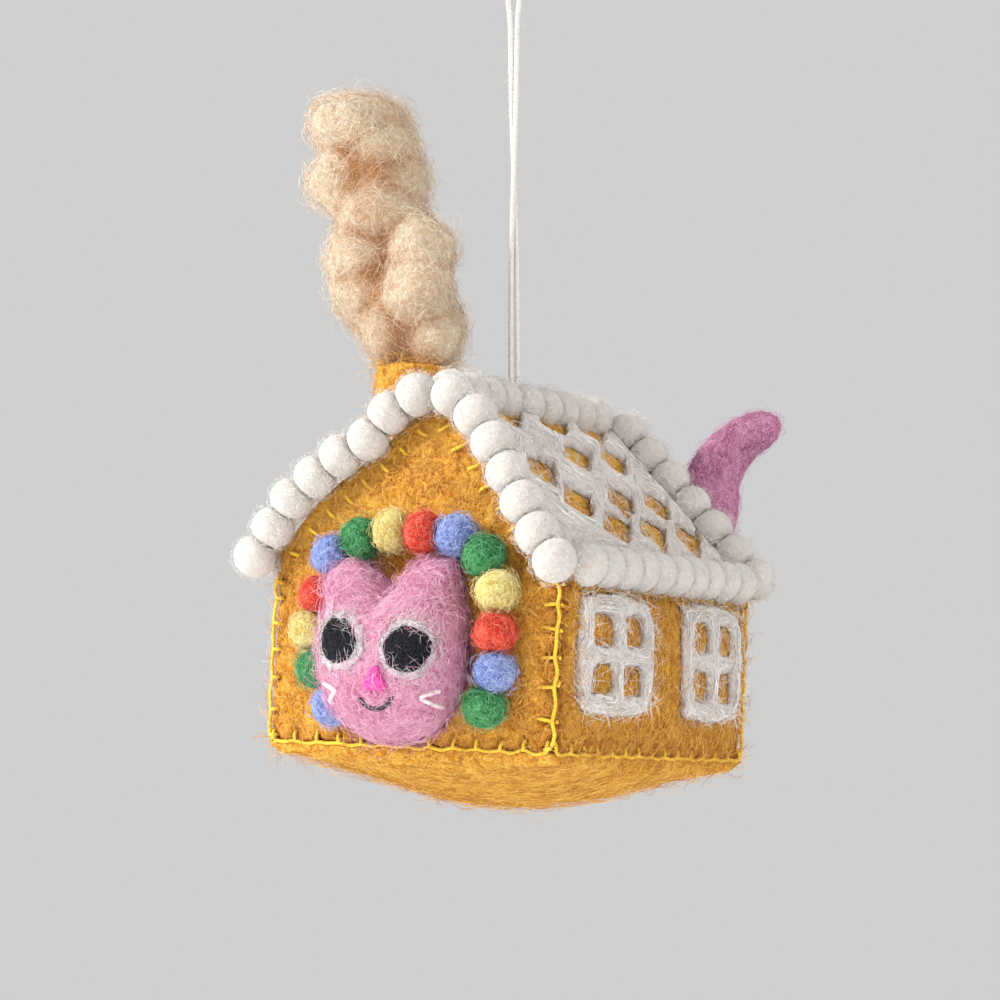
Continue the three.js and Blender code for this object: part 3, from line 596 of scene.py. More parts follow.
def run_along(curve):
    """Distance along a curve up to each of its points."""
    return np.concatenate([[0], np.cumsum(np.linalg.norm(np.diff(curve, axis=0), axis=1))])


def points_at(at, run, curve):
    """Points of a curve at the given distances along it."""
    return np.stack([np.interp(at, run, line) for line in curve.T], -1)


def smooth_route(route, step):
    """A curve through every point of a route, its tangents from the neighbours, sampled at even steps."""
    gaps = np.sqrt(np.linalg.norm(np.diff(route, axis=0), axis=1))
    t = np.concatenate([[0], np.cumsum(gaps)])
    tangent = np.gradient(route, t, axis=0)
    at = np.linspace(0, t[-1], 4000)
    i = np.clip(np.searchsorted(t, at, "right") - 1, 0, len(t) - 2)
    h = (t[i + 1] - t[i])[:, None]
    s = ((at - t[i])[:, None]) / h
    curve = (
        (2 * s**3 - 3 * s**2 + 1) * route[i] + (s**3 - 2 * s**2 + s) * h * tangent[i]
        + (3 * s**2 - 2 * s**3) * route[i + 1] + (s**3 - s**2) * h * tangent[i + 1]
    )
    run = run_along(curve)
    even = np.linspace(0, run[-1], int(run[-1] / step) + 1)
    return points_at(even, run, curve), run[-1]


def blunt(line):
    """The same line with one more point just inside each end, so that a thread along it ends flat."""
    first, last = line[0] + 0.02 * (line[1] - line[0]), line[-1] + 0.02 * (line[-2] - line[-1])
    return np.concatenate([line[:1], [first], line[1:-1], [last], line[-1:]])


def plied(path, up, radius, plies, lead, step, sides):
    """Thread of several plies: its radius dips between plies that wind round once in each lead."""
    angle = 2 * np.pi * np.arange(sides) / sides
    phase = plies * (angle[None] - 2 * np.pi * step * np.arange(len(path))[:, None] / lead) / 2
    ring = radius * (0.76 + 0.24 * np.abs(np.cos(phase)))
    return strands(path[None], np.asarray(up, float), ring[None], sides)


def cord_strand(line, up, step, sides):
    """The cord's three plies along a line."""
    return plied(line, up, CORD_RADIUS, 3, CORD_LEAD, step, sides)


CORD_RADIUS, CORD_LEAD, CORD_STEP, KNOT_STEP = 0.65, 4.2, 0.4, 0.2
HELD_TOP, HELD_LENGTH, KNOT_MIDDLE = -103.58, 11.0, -117
cord_line, cord_length = smooth_route(CORD_ROUTE, CORD_STEP)
cord_shape = cord_strand(blunt(cord_line), (0.12, 1.0, 0.05), CORD_STEP, 12)
hanging_cord = piece(
    "cotton_cord_loop", cord_shape, "cotton_cord", body="cord", nodes=["hanging_cord"], framed=True
)
fall = np.linspace(0, 1, 60)
turn = 2.2 * np.pi * fall + math.atan2(0.4, 0.62)
held_line = xyz(0.74 * np.cos(turn), 0.74 * np.sin(turn), HELD_TOP - HELD_LENGTH * fall)
held_ends = [held_line, held_line * (-1, -1, 1)]
loop = np.linspace(0, 2 * np.pi, 90)
reach = 1.62 + 0.75 * np.cos(3 * loop)
knot = xyz(reach * np.cos(2 * loop), reach * np.sin(2 * loop), KNOT_MIDDLE + 1.5 * np.sin(3 * loop))
knot_parts = [cord_strand(blunt(end), (0.3, 1.0, 0.2), KNOT_STEP, 10) for end in held_ends]
knot_parts.append(cord_strand(knot, (0.05, 0.1, 1.0), KNOT_STEP, 10))
cord_knot = piece(
    "cord_knot", join(knot_parts), "cotton_cord", body="cord_end", nodes=["cord_end"], framed=True
)


# Loose fibres
def scatter(shape, count, seed, keep):
    """Points spread evenly over a shape's faces, and the normals there; keep drops points by place."""
    rng = np.random.RandomState(seed)
    points, faces = shape
    corners = points[triangles(faces)]
    cross = np.cross(corners[:, 1] - corners[:, 0], corners[:, 2] - corners[:, 0])
    area = np.linalg.norm(cross, axis=1)
    want = count if keep is None else 5 * count
    chosen = rng.choice(len(corners), want, p=area / area.sum())
    a, b = rng.rand(2, want)
    fold = a + b > 1
    a, b = np.where(fold, 1 - a, a)[:, None], np.where(fold, 1 - b, b)[:, None]
    c = corners[chosen]
    places = c[:, 0] + a * (c[:, 1] - c[:, 0]) + b * (c[:, 2] - c[:, 0])
    facing = unit(cross[chosen])
    if keep is not None:
        inside = np.flatnonzero(keep(places, facing))[:count]
        places, facing = places[inside], facing[inside]
    return places, facing


def fibres(roots, facing, length, lift, curl, radius, seed, steps, flow, sink, bow, shade):
    """Fibres from roots on a surface. Each starts in a random direction along the surface, or along flow,
    raised by the first lift angle, turns by a random part of curl, and ends at the second lift angle, bent
    down by bow for each millimetre so that it follows a round surface. shade paints shade on it, darkening
    its tint."""
    rng = np.random.RandomState(seed)
    count = len(roots)
    if flow is None:
        along = unit(np.cross(facing, unit(rng.normal(size=(count, 3)))))
    else:
        along = unit(flow - dot(flow, facing) * facing) * rng.choice([-1, 1], (count, 1))
        along = along + 0.35 * rng.normal(size=(count, 3))
        along = unit(along - dot(along, facing) * facing)
    across = np.cross(facing, along)
    s = np.linspace(0, 1, steps)[None, :, None]
    size = rng.uniform(*length, (count, 1, 1))
    bend = rng.uniform(-1, 1, (count, 1, 1)) * curl * s + 0.5 * rng.normal(size=(count, 1, 1)) * s * s
    stray = 0.16 * rng.normal(size=(count, 1, 1)) * (1 - s)
    rise = lift[0] + (lift[1] - lift[0]) * s + stray - bow * size * s
    heading = np.cos(rise) * (np.cos(bend) * along[:, None] + np.sin(bend) * across[:, None])
    heading = heading + np.sin(rise) * facing[:, None]
    path = roots[:, None] - sink * facing[:, None] + np.cumsum(heading * size / (steps - 1), axis=1)
    thick = radius * np.array([0.6] + [1.0] * (steps - 2) + [0.4]) * rng.uniform(0.7, 1.25, (count, 1))
    shape = strands(path, facing[:, None] + 0.3 * along[:, None] + 0 * path, thick)
    # random tone, darkened by the painted shade
    tint = np.clip(rng.rand(count) ** 1.3 * (1 - 0.4 * shade) + 0.7 * shade, 0, 1)
    tint = np.repeat(tint, len(shape[0]) // count)
    return shape, tint


# Lift at the root and at the tip of fibres that lie flat
FLAT = (0.28, -0.14)


def coat(shape, count, length, seed, lift, curl, radius, steps=5, keep=None, flow=None, sink=0.3, bow=0.0,
         shade=None):
    """A coat of fibres over a whole shape: least and greatest length, lift at the root and at the tip in
    radians, curl and radius. keep drops roots by place, flow gives directions and shade a painted shade."""
    roots, facing = scatter(shape, count, seed, keep)
    along = None if flow is None else flow(roots)
    dark = np.zeros(len(roots)) if shade is None else shade(roots)
    return fibres(roots, facing, length, lift, curl, radius, seed + 1, steps, along, sink, bow, dark)


def fuzz(name, parts, material, slot, body="house", framed=False):
    """One piece of loose fibres from several lots, each a shape and its tints."""
    points, faces = join([shape for shape, _ in parts])
    tints = np.concatenate([tint for _, tint in parts])
    return piece(name, (points, faces), slot, material, body, tint=tints, framed=framed)


cord_fuzz = fuzz(
    "fuzz_cord", [coat(cord_shape, 1300, (0.8, 2.2), 401, (0.5, -0.1), 2.0, 0.022, 4, sink=0.1, bow=0.3)],
    FIBRES["cotton"], "cotton_cord", "cord", framed=True,
)


# Felt panels
def felt_noise(points, size, height, seed):
    """Points pushed about by lumps of the given size and height, the same in all three directions."""
    shift = np.stack([lumps(points + k * 50, size, seed + 10 * k) for k in range(3)], -1)
    return points + height * shift


def gable_panel(face, inward, right_legs, count, seed):
    """Front or back wall: across and up to just under the roof's top, rounded back at the base and at the
    corners, and pinched in where the stitches pull it."""
    a, c = grid(spread(count, 0.4), spread(count, 0.3))
    x = (2 * a - 1) * HALF_WIDTH
    z = c * (roof_top(x) - 0.4)
    corner = HALF_WIDTH - np.abs(x)
    dent = edge_drop(np.minimum(corner, z), 1.3) + pinch(x, z, FRONT_SPOTS, BASE_LEG)
    legs = np.where(x[..., None] > 0, right_legs, SMALL_LEG)
    dent = dent + pinch(z, corner, CORNER_SPOTS, legs)
    outer = felt_noise(xyz(x, face(x, z) + inward * dent, z), 7, 0.28, seed)
    outer = outer + inward * 0.1 * lumps(outer, 1.6, seed + 5, 1)[..., None] * (0, 1, 0)
    return slab(outer, xyz(x, face(x, z) + inward * FELT, z))


def side_panel(side, seed):
    """Side wall: from front to back and up to the eave, swelling between its seams, pinched at them."""
    end = HALF_DEPTH - FELT - 0.5
    b, c = grid(spread(97, 0.4), spread(51, 0.4))
    y = (2 * b - 1) * end
    z = c * gable_top(side * HALF_WIDTH)
    rim = np.minimum(np.minimum(end - np.abs(y), z), gable_top(side * HALF_WIDTH) - z)
    dent = edge_drop(rim, 1.1) + pinch(y, z, LONG_SPOTS, BASE_LEG)
    dent = dent + pinch(z, end - np.abs(y), CORNER_SPOTS, 1.0, 0.4)
    outer = felt_noise(xyz(side * (side_face(y, z) - dent), y, z), 7, 0.3, seed)
    return slab(outer, xyz(side * (side_face(y, z) - FELT), y, z))


def base_panel(seed):
    """Base: hangs down in a belly between its seams, thick as the felt, pinched along its edges."""
    a, b = grid(spread(81, 0.4), spread(87, 0.4))
    x, y = (2 * a - 1) * HALF_WIDTH, (2 * b - 1) * HALF_DEPTH
    from_side, from_end = HALF_WIDTH - np.abs(x), HALF_DEPTH - np.abs(y)
    dent = edge_drop(np.minimum(from_side, from_end), 1.4)
    dent = dent + pinch(x, from_end, FRONT_SPOTS, 0.5, 0.6) + pinch(y, from_side, LONG_SPOTS, 0.5, 0.6)
    outer = felt_noise(xyz(x, y, -SEAM - belly(x, y) - FELT + dent), 9, 0.35, seed)
    return slab(outer, xyz(x, y, -SEAM - belly(x, y)))


def roof_slope(side, seed):
    """Roof panel: from the ridge seam down to the eave, between the gable walls, its eave rounded."""
    a, b = grid(spread(49, 0.3), spread(79, 0.3))
    down = 0.004 + 0.996 * a
    start, end = roof_front(down) + PANEL_GAP, roof_back(down) - PANEL_GAP
    y = start + b * (end - start)
    outer = roof_point(side, down, y, -edge_drop((1 - down) * SLOPE_LENGTH, 1.2))
    x = side * EAVE_REACH * down
    return slab(felt_noise(outer, 7, 0.25, seed), xyz(x, y, roof_top(x) - ROOF_DROP))


# Each panel's shape, node, fill, and for the walls the axis that their base seam runs along
panels = {
    "front": (gable_panel(front_face, 1, CORNER_LEGS, 99, 3), "front_wall", 0.8, 0),
    "back": (gable_panel(back_face, -1, SMALL_LEG, 75, 23), "back_wall", 0.8, 0),
    "base": (base_panel(63), "base_panel", 0.8, None),
}
for name, s in SIDES.items():
    panels[f"side_{name}"] = side_panel(s, 43 + s), f"{name}_wall", 0.8, 1
    panels[f"slope_{name}"] = roof_slope(s, 83 + s), f"roof_panel_{name}", 0.7, None
for name, (shape, node, fill, axis) in panels.items():
    # painted shade in the walls' seam folds, carried by the tint attribute
    tint = None if axis is None else seam_shade(shape[0], axis)
    piece(f"felt_{name}", shape, "gingerbread_felt", nodes=[node], tint=tint)


FILL_ACROSS, FILL_ALONG, FILL_GRID, BELLY_LAYERS = 35, 39, (25, 25, 20), 2


def filling():
    """Loose filling: its first layers in the belly and the others up to the roof, inside every panel."""
    a, b, c = grid(*(np.linspace(0, 1, count) for count in FILL_GRID))
    x0, y0 = (2 * a - 1) * FILL_ACROSS, (2 * b - 1) * FILL_ALONG
    last = FILL_GRID[2] - 1
    layer = c * last
    up = np.maximum(0, (layer - BELLY_LAYERS) / (last - BELLY_LAYERS))
    low = (layer / BELLY_LAYERS - 1) * 0.78 * belly(x0, y0) + 0.5
    z = np.where(layer < BELLY_LAYERS, low, 0.6 + up * (gable_top(x0) - 1.8))
    x = x0 + (2 * a - 1) * (side_face(y0, np.clip(z, 0, gable_top(HALF_WIDTH))) - HALF_WIDTH)
    wall_z = np.maximum(0, z)
    y = front_face(x0, wall_z) + 4 + b * (back_face(x0, wall_z) - front_face(x0, wall_z) - 8)
    ids = np.arange(a.size).reshape(FILL_GRID)
    layers = [ids[0], ids[-1, :, ::-1], ids[:, 0, ::-1], ids[:, -1], ids[:, ::-1, 0], ids[:, :, -1]]
    quads = np.concatenate([layer.ravel()[grid_quads(*layer.shape)] for layer in layers])
    used, place = np.unique(quads, return_inverse=True)
    points = xyz(x, y, z).reshape(-1, 3)[used]
    return points, outward(points, [place.reshape(-1, 4)])


piece("loose_filling", filling(), "filling", nodes=["stuffing"])

# Balls
BALL_POINTS, BALL_FACES = ico_sphere(3)
BALL_LUMPS, WHITE_RADIUS, ARCH_RADII = 0.022, 5.05, (4.85, 4.75, 5.0)
BALL_PITCH, RIDGE_ROW, EAVE_ACROSS, EAVE_ROW = 10.3, 82.6, 41.4, 42.3
FRONT_STAND, BACK_STAND = 3.5, 0.6


def felt_ball(centre, radii, turn, seed):
    """A hand-rolled ball: an ellipsoid turned by a matrix, made uneven by lumps."""
    rng = np.random.RandomState(seed)
    bumps = 1 + BALL_LUMPS * lumps(BALL_POINTS * 4 + rng.uniform(0, 90, 3), 3.4, seed, 2)
    return centre + (BALL_POINTS * np.asarray(radii) * bumps[:, None]) @ turn.T, [BALL_FACES]


def pressed(points, centre, neighbour):
    """Points of a ball held back where a neighbour presses on it: past six tenths of the room towards the
    neighbour they follow a tanh curve that never passes the room."""
    gap = np.linalg.norm(neighbour - centre)
    direction, room = (neighbour - centre) / gap, gap / 2 + 0.12
    free = 0.6 * room
    s = (points - centre) @ direction
    held = free + (room - free) * np.tanh(np.maximum(s - free, 0) / (room - free))
    return points + np.outer(np.where(s > free, held - s, 0), direction)


def ball_row(centres, radii_of, turn_of, seed):
    """Balls sewn side by side, each pressed flat against its neighbours in the row."""
    balls = []
    for i, centre in enumerate(centres):
        points, faces = felt_ball(centre, radii_of(i), turn_of(i), seed + i)
        for near in (i - 1, i + 1):
            if 0 <= near < len(centres):
                points = pressed(points, centre, centres[near])
        balls.append((points, faces))
    return balls


def any_turn(seed):
    """A turn in no particular direction."""
    turn = np.linalg.qr(np.random.RandomState(seed).normal(size=(3, 3)))[0]
    return turn * np.sign(np.linalg.det(turn))


def white_row(centres, seed):
    """A row of white balls as one shape."""
    def radii(i):
        return WHITE_RADIUS * np.random.RandomState(seed + i + 7).uniform(0.975, 1.025, 3)

    return join(ball_row(np.array(centres), radii, lambda i: any_turn(seed + i), seed))


def over_slope(distance, lift):
    """Across and up of a point at a distance down the slope, lifted square to it."""
    c = math.sqrt(0.5)
    return distance * c + lift * c, RIDGE - distance * c + lift * c


def rake_centres(side, row, start, spacing, lifts):
    """Centres of the balls down one rake; row gives their depth at a share down the slope."""
    at = [(start + i * spacing, lift) for i, lift in enumerate(lifts)]
    over = [over_slope(*pair) for pair in at]
    depths = [row(min(1, distance / SLOPE_LENGTH)) for distance, _ in at]
    return [(side * across, depth, rise) for (across, rise), depth in zip(over, depths)]


def front_row(down):
    """Depth of the front rake balls."""
    return roof_front(down) - FRONT_STAND


def back_row(down):
    """Depth of the back rake balls."""
    return roof_back(down) + BACK_STAND


def reach_past(distance, lift):
    """How far along the ridge a ball at this place on a rake fills the row."""
    across, rise = over_slope(distance, lift)
    return math.sqrt(BALL_PITCH**2 - across**2 - (rise - RIDGE_ROW) ** 2)


# How far each ball down a rake is lifted off the slope. In rows each rake's numbers are where its first ball
# sits down the slope and the step to the next
FRONT_RIGHT = [4.6, 6.2, 5.6, 4.2, 2.8, 1.2, 0.6]
FRONT_LEFT = [1.6, 3.6, 3, 5.2, 6.3, 6.9, 5.2, 3.5]
BACK_LEFT = [2.8, 3, 3.6, 4.6, 5.2, 4.8, 2.8]
ridge_start = front_row(0) + reach_past(2.3, 1.6)
ridge_end = back_row(0) - reach_past(4.5, 2.8)
eave_places = np.linspace(front_row(1) + BALL_PITCH, back_row(1) - BALL_PITCH, 10)
beside_cord = BALL_PITCH / 2
rows = {
    "front_rake_balls_right": rake_centres(1, front_row, 5.9, 8.2, FRONT_RIGHT),
    "front_rake_balls_left": rake_centres(-1, front_row, 2.3, 7.93, FRONT_LEFT),
    "back_rake_balls_right": rake_centres(1, back_row, 4.5, 8.45, [2.8] * 7),
    "back_rake_balls_left": rake_centres(-1, back_row, 4.5, 8.45, BACK_LEFT),
    "ridge_balls_front": [(0, y, RIDGE_ROW) for y in np.linspace(ridge_start, CORD_ALONG - beside_cord, 4)],
    "ridge_balls_back": [(0, y, RIDGE_ROW) for y in np.linspace(CORD_ALONG + beside_cord, ridge_end, 5)],
    "eave_balls_right": [(EAVE_ACROSS, y, EAVE_ROW) for y in eave_places],
    "eave_balls_left": [(-EAVE_ACROSS, y, EAVE_ROW) for y in eave_places],
}
white_rows = {node: white_row(centres, 200 + 20 * k) for k, (node, centres) in enumerate(rows.items())}
for node, shape in white_rows.items():
    piece(f"felted_{node}", shape, "white_ball_felt", nodes=[node])

ARCH_COLOURS = ["green", "blue", "red", "yellow"]
# The arch's sizes, and how far each ball is off its even place, across and up
ARCH_PITCH, ARCH_ACROSS, ARCH_UP, ARCH_DOWN, ARCH_MIDDLE, ARCH_STAND = 9.15, 26.1, 23, 30, (0.2, 26.3), 4.1
ARCH_SHIFTS = np.array([
    (0.5, 1.6), (0.5, 0.6), (-0.2, 0.1), (0.4, 0.6), (0.3, 0), (0, 0), (0.2, -0.8), (0.7, -0.6), (1, -0.9),
    (1.3, -0.3), (2.9, -1.3), (1.5, -0.4), (3.1, 0.1), (5.6, 0.5),
])


def arch_places():
    """Even steps along the arch, a superellipse that reaches further down than up: centre and heading."""
    length = ARCH_PITCH * (len(ARCH_SHIFTS) - 1)
    half = length / (ARCH_ACROSS + ARCH_UP)
    angle = np.linspace(np.pi / 2 - half, np.pi / 2 + half, 2001)

    def reach(v):
        return np.sign(v) * np.abs(v) ** (2 / 2.7)

    tall = np.where((angle > 0) & (angle < np.pi), ARCH_UP, ARCH_DOWN)
    curve = ARCH_MIDDLE + np.stack([ARCH_ACROSS * reach(np.cos(angle)), tall * reach(np.sin(angle))], -1)
    run = run_along(curve)
    at = (run[-1] - length) / 2 + ARCH_PITCH * np.arange(len(ARCH_SHIFTS))
    place, ahead = points_at(at, run, curve), points_at(at + 0.5, run, curve)
    return place + ARCH_SHIFTS, unit(ahead - place)


arch_at, arch_heading = arch_places()
arch_centres = xyz(arch_at[:, 0], front_face(*arch_at.T) - ARCH_STAND, arch_at[:, 1])
arch_turns = [np.array([[tx, 0, -tz], [0, 1, 0], [tz, 0, tx]]) for tx, tz in arch_heading]
arch_balls = ball_row(arch_centres, lambda i: ARCH_RADII, lambda i: arch_turns[i], 500)
for i, shape in enumerate(arch_balls):
    colour = ARCH_COLOURS[i % len(ARCH_COLOURS)]
    name = f"arch_ball_{i + 1:02d}_{colour}"
    piece(f"felted_{name}", shape, f"{colour}_ball_felt", nodes=[name])


# Needled icing: how far its edge and its under side lie off the felt
ICING_EDGE, ICING_UNDER = 0.25, 0.15


def cut_sheet(field, place, cell, span_u, span_v, height, thin):
    """A needled sheet with openings. field(u, v) is the distance inside its edge; cells where it is above
    nought are kept, their border points moved onto the edge, and the top domes up from there, with grooves
    that run along the edge, noise of that distance."""
    U, V = grid(np.arange(*span_u, cell), np.arange(*span_v, cell))
    f = field(U, V)
    kept = (f[:-1, :-1] + f[1:, :-1] + f[:-1, 1:] + f[1:, 1:]) / 4 > 0
    for _ in range(3):
        a, b, c, d = kept[:-1, :-1], kept[1:, :-1], kept[:-1, 1:], kept[1:, 1:]
        kept[:-1, :-1] |= b & c & ~a & ~d
        kept[1:, :-1] |= a & d & ~b & ~c
    count = np.zeros(U.shape, int)
    for di in (0, 1):
        for dj in (0, 1):
            count[di : di + kept.shape[0], dj : dj + kept.shape[1]] += kept
    border = (count > 0) & (count < 4)
    nudge = 0.05
    for _ in range(3):
        f = field(U, V)
        gu, gv = (field(U + nudge, V) - f) / nudge, (field(U, V + nudge) - f) / nudge
        step = f / np.maximum(gu**2 + gv**2, 0.1)
        size = np.hypot(step * gu, step * gv)
        step = step * np.minimum(1, 0.3 * cell / np.maximum(size, 1e-9))
        U, V = np.where(border, U - step * gu, U), np.where(border, V - step * gv, V)
    f = np.where(border, 0, np.maximum(field(U, V), 0))
    t = 1 - np.clip(f / thin, 0, 1)
    share = np.sqrt(np.clip(1 - t * t, 0, 1))
    groove = lumps(xyz(1.7 * f, 0.3 * U, 0.3 * V), 1.5, 71, 2)
    lump = lumps(xyz(U, V, 0), 4.5, 75, 2)
    top = place(U, V, ICING_EDGE + share * (height + 0.34 * groove + 0.3 * lump))
    bottom = place(U, V, np.full_like(U, ICING_UNDER))
    quads = grid_quads(*U.shape)[kept.ravel()]
    n = U.size
    under = np.where(border.ravel(), np.arange(n), np.arange(n) + n)
    used, ids = np.unique(np.concatenate([quads, under[quads[:, ::-1]]]), return_inverse=True)
    points = np.concatenate([top.reshape(-1, 3), bottom.reshape(-1, 3)])[used]
    return points, outward(points, [ids.reshape(-1, 4)])


def slope_of(field, u, v):
    """How a field changes along u and along v at a point, as a direction."""
    nudge = 0.3
    along_u = field(u + nudge, v) - field(u - nudge, v)
    along_v = field(u, v + nudge) - field(u, v - nudge)
    size = np.hypot(along_u, along_v) + 1e-6
    return along_u / size, along_v / size


def off_knot(points, facing):
    """True over 12 mm from the cord's knot inside the ridge, so that no fibre reaches it."""
    return np.hypot(points[:, 0], points[:, 1]) > 12


def icing_sheet(field, place, flat, axes, cell, spans, height, thin):
    """A needled sheet's shape with all that its fibres need. flat gives the u and v of a point and axes the
    directions in which they run; flow goes along its bands, across square to them, rim is by its edge."""
    def flow(points, first=axes[1], second=-axes[0]):
        slope_u, slope_v = slope_of(field, *flat(points))
        return slope_u[:, None] * first + slope_v[:, None] * second + 1e-6

    def across(points):
        return flow(points, *axes)

    def rim(points, facing):
        top = facing @ np.cross(*axes) * np.sign(points[:, 0]) > -0.2
        return (field(*flat(points)) < 1.1) & top & off_knot(points, facing)

    shape = cut_sheet(field, place, cell, *spans, height, thin)
    return dict(shape=shape, field=field, place=place, axes=axes, spans=spans, flow=flow, across=across,
                rim=rim, height=height, thin=thin, inside=lambda points: field(*flat(points)))


def rovings(sheet, count, seed):
    """Strands of wool along an icing's bands: each starts inside the edge and goes on square to the field's
    slope, turned inward near the edge, half sunk into the icing's top."""
    rng = np.random.RandomState(seed)
    u, v = (rng.uniform(*span, 60 * count) for span in sheet["spans"])
    inside = np.flatnonzero(sheet["field"](u, v) > 0.3)[:count]
    u, v = u[inside], v[inside]
    ahead = rng.normal(size=(2, len(u)))
    path = []
    for _ in range(10):
        f = sheet["field"](u, v)
        share = np.sqrt(1 - (1 - np.clip(f / sheet["thin"], 0, 1)) ** 2)
        lift = ICING_EDGE + share * sheet["height"] + rng.uniform(-0.05, 0.22, len(u))
        path.append(sheet["place"](u, v, lift))
        slope_u, slope_v = slope_of(sheet["field"], u, v)
        turn = np.sign(slope_v * ahead[0] - slope_u * ahead[1])
        inward = np.where(f < 0.5, 0.6, 0)
        step = np.stack([turn * slope_v + inward * slope_u, -turn * slope_u + inward * slope_v])
        ahead = 0.6 * step + 0.4 * ahead / (np.hypot(*ahead) + 1e-6)
        u, v = u + 0.85 * ahead[0], v + 0.85 * ahead[1]
    ends = np.array([0.4, 0.7] + [1.0] * 6 + [0.7, 0.4])
    thick = rng.uniform(0.06, 0.15, (len(u), 1)) * ends
    shape = strands(np.stack(path, 1), np.cross(*sheet["axes"]), thick)
    return shape, np.repeat(rng.rand(len(u)), len(shape[0]) // len(u))


def rounded(a, b, power):
    """Distance of a and b from nought by a power: its level lines are diamonds at 1, circles at 2 and
    squarer above."""
    return (np.abs(a) ** power + np.abs(b) ** power) ** (1 / power)


# Middles of the lattice's openings: behind the front edge, down from the ridge
HOLES = [(29, 5.5), (50, 5.5), (67.5, 5.5), (22.8, 25.8), (46.5, 18.8), (64.5, 17.6), (28.5, 35.5),
         (50.5, 33), (68.5, 32.3), (37.7, 43), (54.6, 43), (71.5, 42.5)]
HOLE_AXES = np.linalg.inv(np.array([[7.5, -1.5], [-2.2, 6.2]]))
HOLE_SIZE, HOLE_POWER = 4.6, 1.2
LATTICE_TOP, LATTICE_FOOT, LATTICE_END, CHIMNEY_GAP = 5.4, 49.8, 4.6, 10.3
WINDOW_WIDE, WINDOW_TALL, WINDOW_RISE = 14.6, 14.0, 22.5
PANE_MIDDLE, PANE_HALF, PANE_SIZE, PANE_POWER = (6.1, 5.6), (3.95, 3.45), 3.7, 4.5


def lattice(side):
    """Icing on a slope: a sheet open in diamonds, whose edge wanders; u runs down and v back."""

    def field(u, v):
        down = u / SLOPE_LENGTH
        p = xyz(u, v, 40 * side)
        wander = 0.55 * value_noise(p, 3.1, 11) + 0.3 * value_noise(p, 1.3, 12)
        ends = np.minimum(v - roof_front(down), roof_back(down) - v) - LATTICE_END
        f = np.minimum(np.minimum(u - LATTICE_TOP, LATTICE_FOOT - u), ends)
        for behind, below in HOLES:
            along, deep = v + HALF_DEPTH - behind, u - below
            a = HOLE_AXES[0, 0] * along + HOLE_AXES[0, 1] * deep
            b = HOLE_AXES[1, 0] * along + HOLE_AXES[1, 1] * deep
            f = np.minimum(f, HOLE_SIZE * (rounded(a, b, HOLE_POWER) - 1))
        if side < 0:
            f = np.minimum(f, np.hypot(-EAVE_REACH * down - CHIMNEY[0], v - CHIMNEY[1]) - CHIMNEY_GAP)
        return f + wander

    def place(u, v, lift):
        return roof_point(side, u / SLOPE_LENGTH, v, lift)

    def flat(points):
        return np.abs(points[:, 0]) * math.sqrt(2), points[:, 1]

    axes = np.array([(side, 0, -1), (0, math.sqrt(2), 0)]) * math.sqrt(0.5)
    spans = ((4.8, 51), (-HALF_DEPTH, HALF_DEPTH))
    return icing_sheet(field, place, flat, axes, cell=0.49, spans=spans, height=1.9, thin=2.4)


def window(side, middle, seed):
    """Icing window on a side wall: a frame with rounded corners and a cross, u runs back and v up."""

    def field(u, v):
        p = xyz(u, v, seed)
        wander = 0.5 * value_noise(p, 3.3, seed) + 0.25 * value_noise(p, 1.2, seed + 1)
        du, dv = u - middle, v - WINDOW_RISE
        wide = WINDOW_WIDE * np.sqrt(np.clip(1 - 0.22 * (dv / 13.25) ** 2, 0.2, 1))
        tall = WINDOW_TALL * np.sqrt(np.clip(1 - 0.22 * (du / 14.25) ** 2, 0.2, 1))
        f = np.minimum(wide - np.abs(du), tall - np.abs(dv))
        pu, pv = ((np.abs(d) - m) / half for d, m, half in zip((du, dv), PANE_MIDDLE, PANE_HALF))
        return np.minimum(f, PANE_SIZE * (rounded(pu, pv, PANE_POWER) - 1)) + wander

    def place(u, v, lift):
        return xyz(side * (side_face(u, v) + lift), u, v)

    def flat(points):
        return points[:, 1], points[:, 2]

    axes = np.array([(0, 1, 0), (0, 0, 1)])
    spans = ((middle - 15.6, middle + 15.6), (7.8, 37.2))
    return icing_sheet(field, place, flat, axes, cell=0.42, spans=spans, height=1.8, thin=2.0)


lattices = {name: lattice(s) for name, s in SIDES.items()}
windows = {
    (name, end): window(s, middle, 120 + s + int(middle))
    for name, s in SIDES.items() for end, middle in (("front", -23.0), ("back", 20.4))
}
for name in SIDES:
    node = f"roof_lattice_{name}"
    piece(f"needled_{node}", lattices[name]["shape"], "icing_wool", nodes=[node])
for (name, end), sheet in windows.items():
    node = f"window_{name}_{end}"
    piece(f"needled_{node}", sheet["shape"], "icing_wool", nodes=[node])

# Head, eyes, nose and tail
HEAD_X, HEAD_Z, HEAD_ACROSS, HEAD_UP, HEAD_DOWN, HEAD_DEPTH = -0.6, 19.9, 18.4, 17.9, 19.4, 16
# How far the head and the tail stand off the walls, and how far its patches sink into the face
HEAD_GAP, TAIL_GAP, PATCH_SUNK = 0.25, 0.35, 0.35
# Bumps of the head's outline, two ears and the brow: angle, height, width in degrees, sharpness
EARS = ((65.3, 7.2, 18.3, 2.5), (127.9, 10.3, 13.3, 2.5), (90.0, -4.9, 12.0, 2.0))


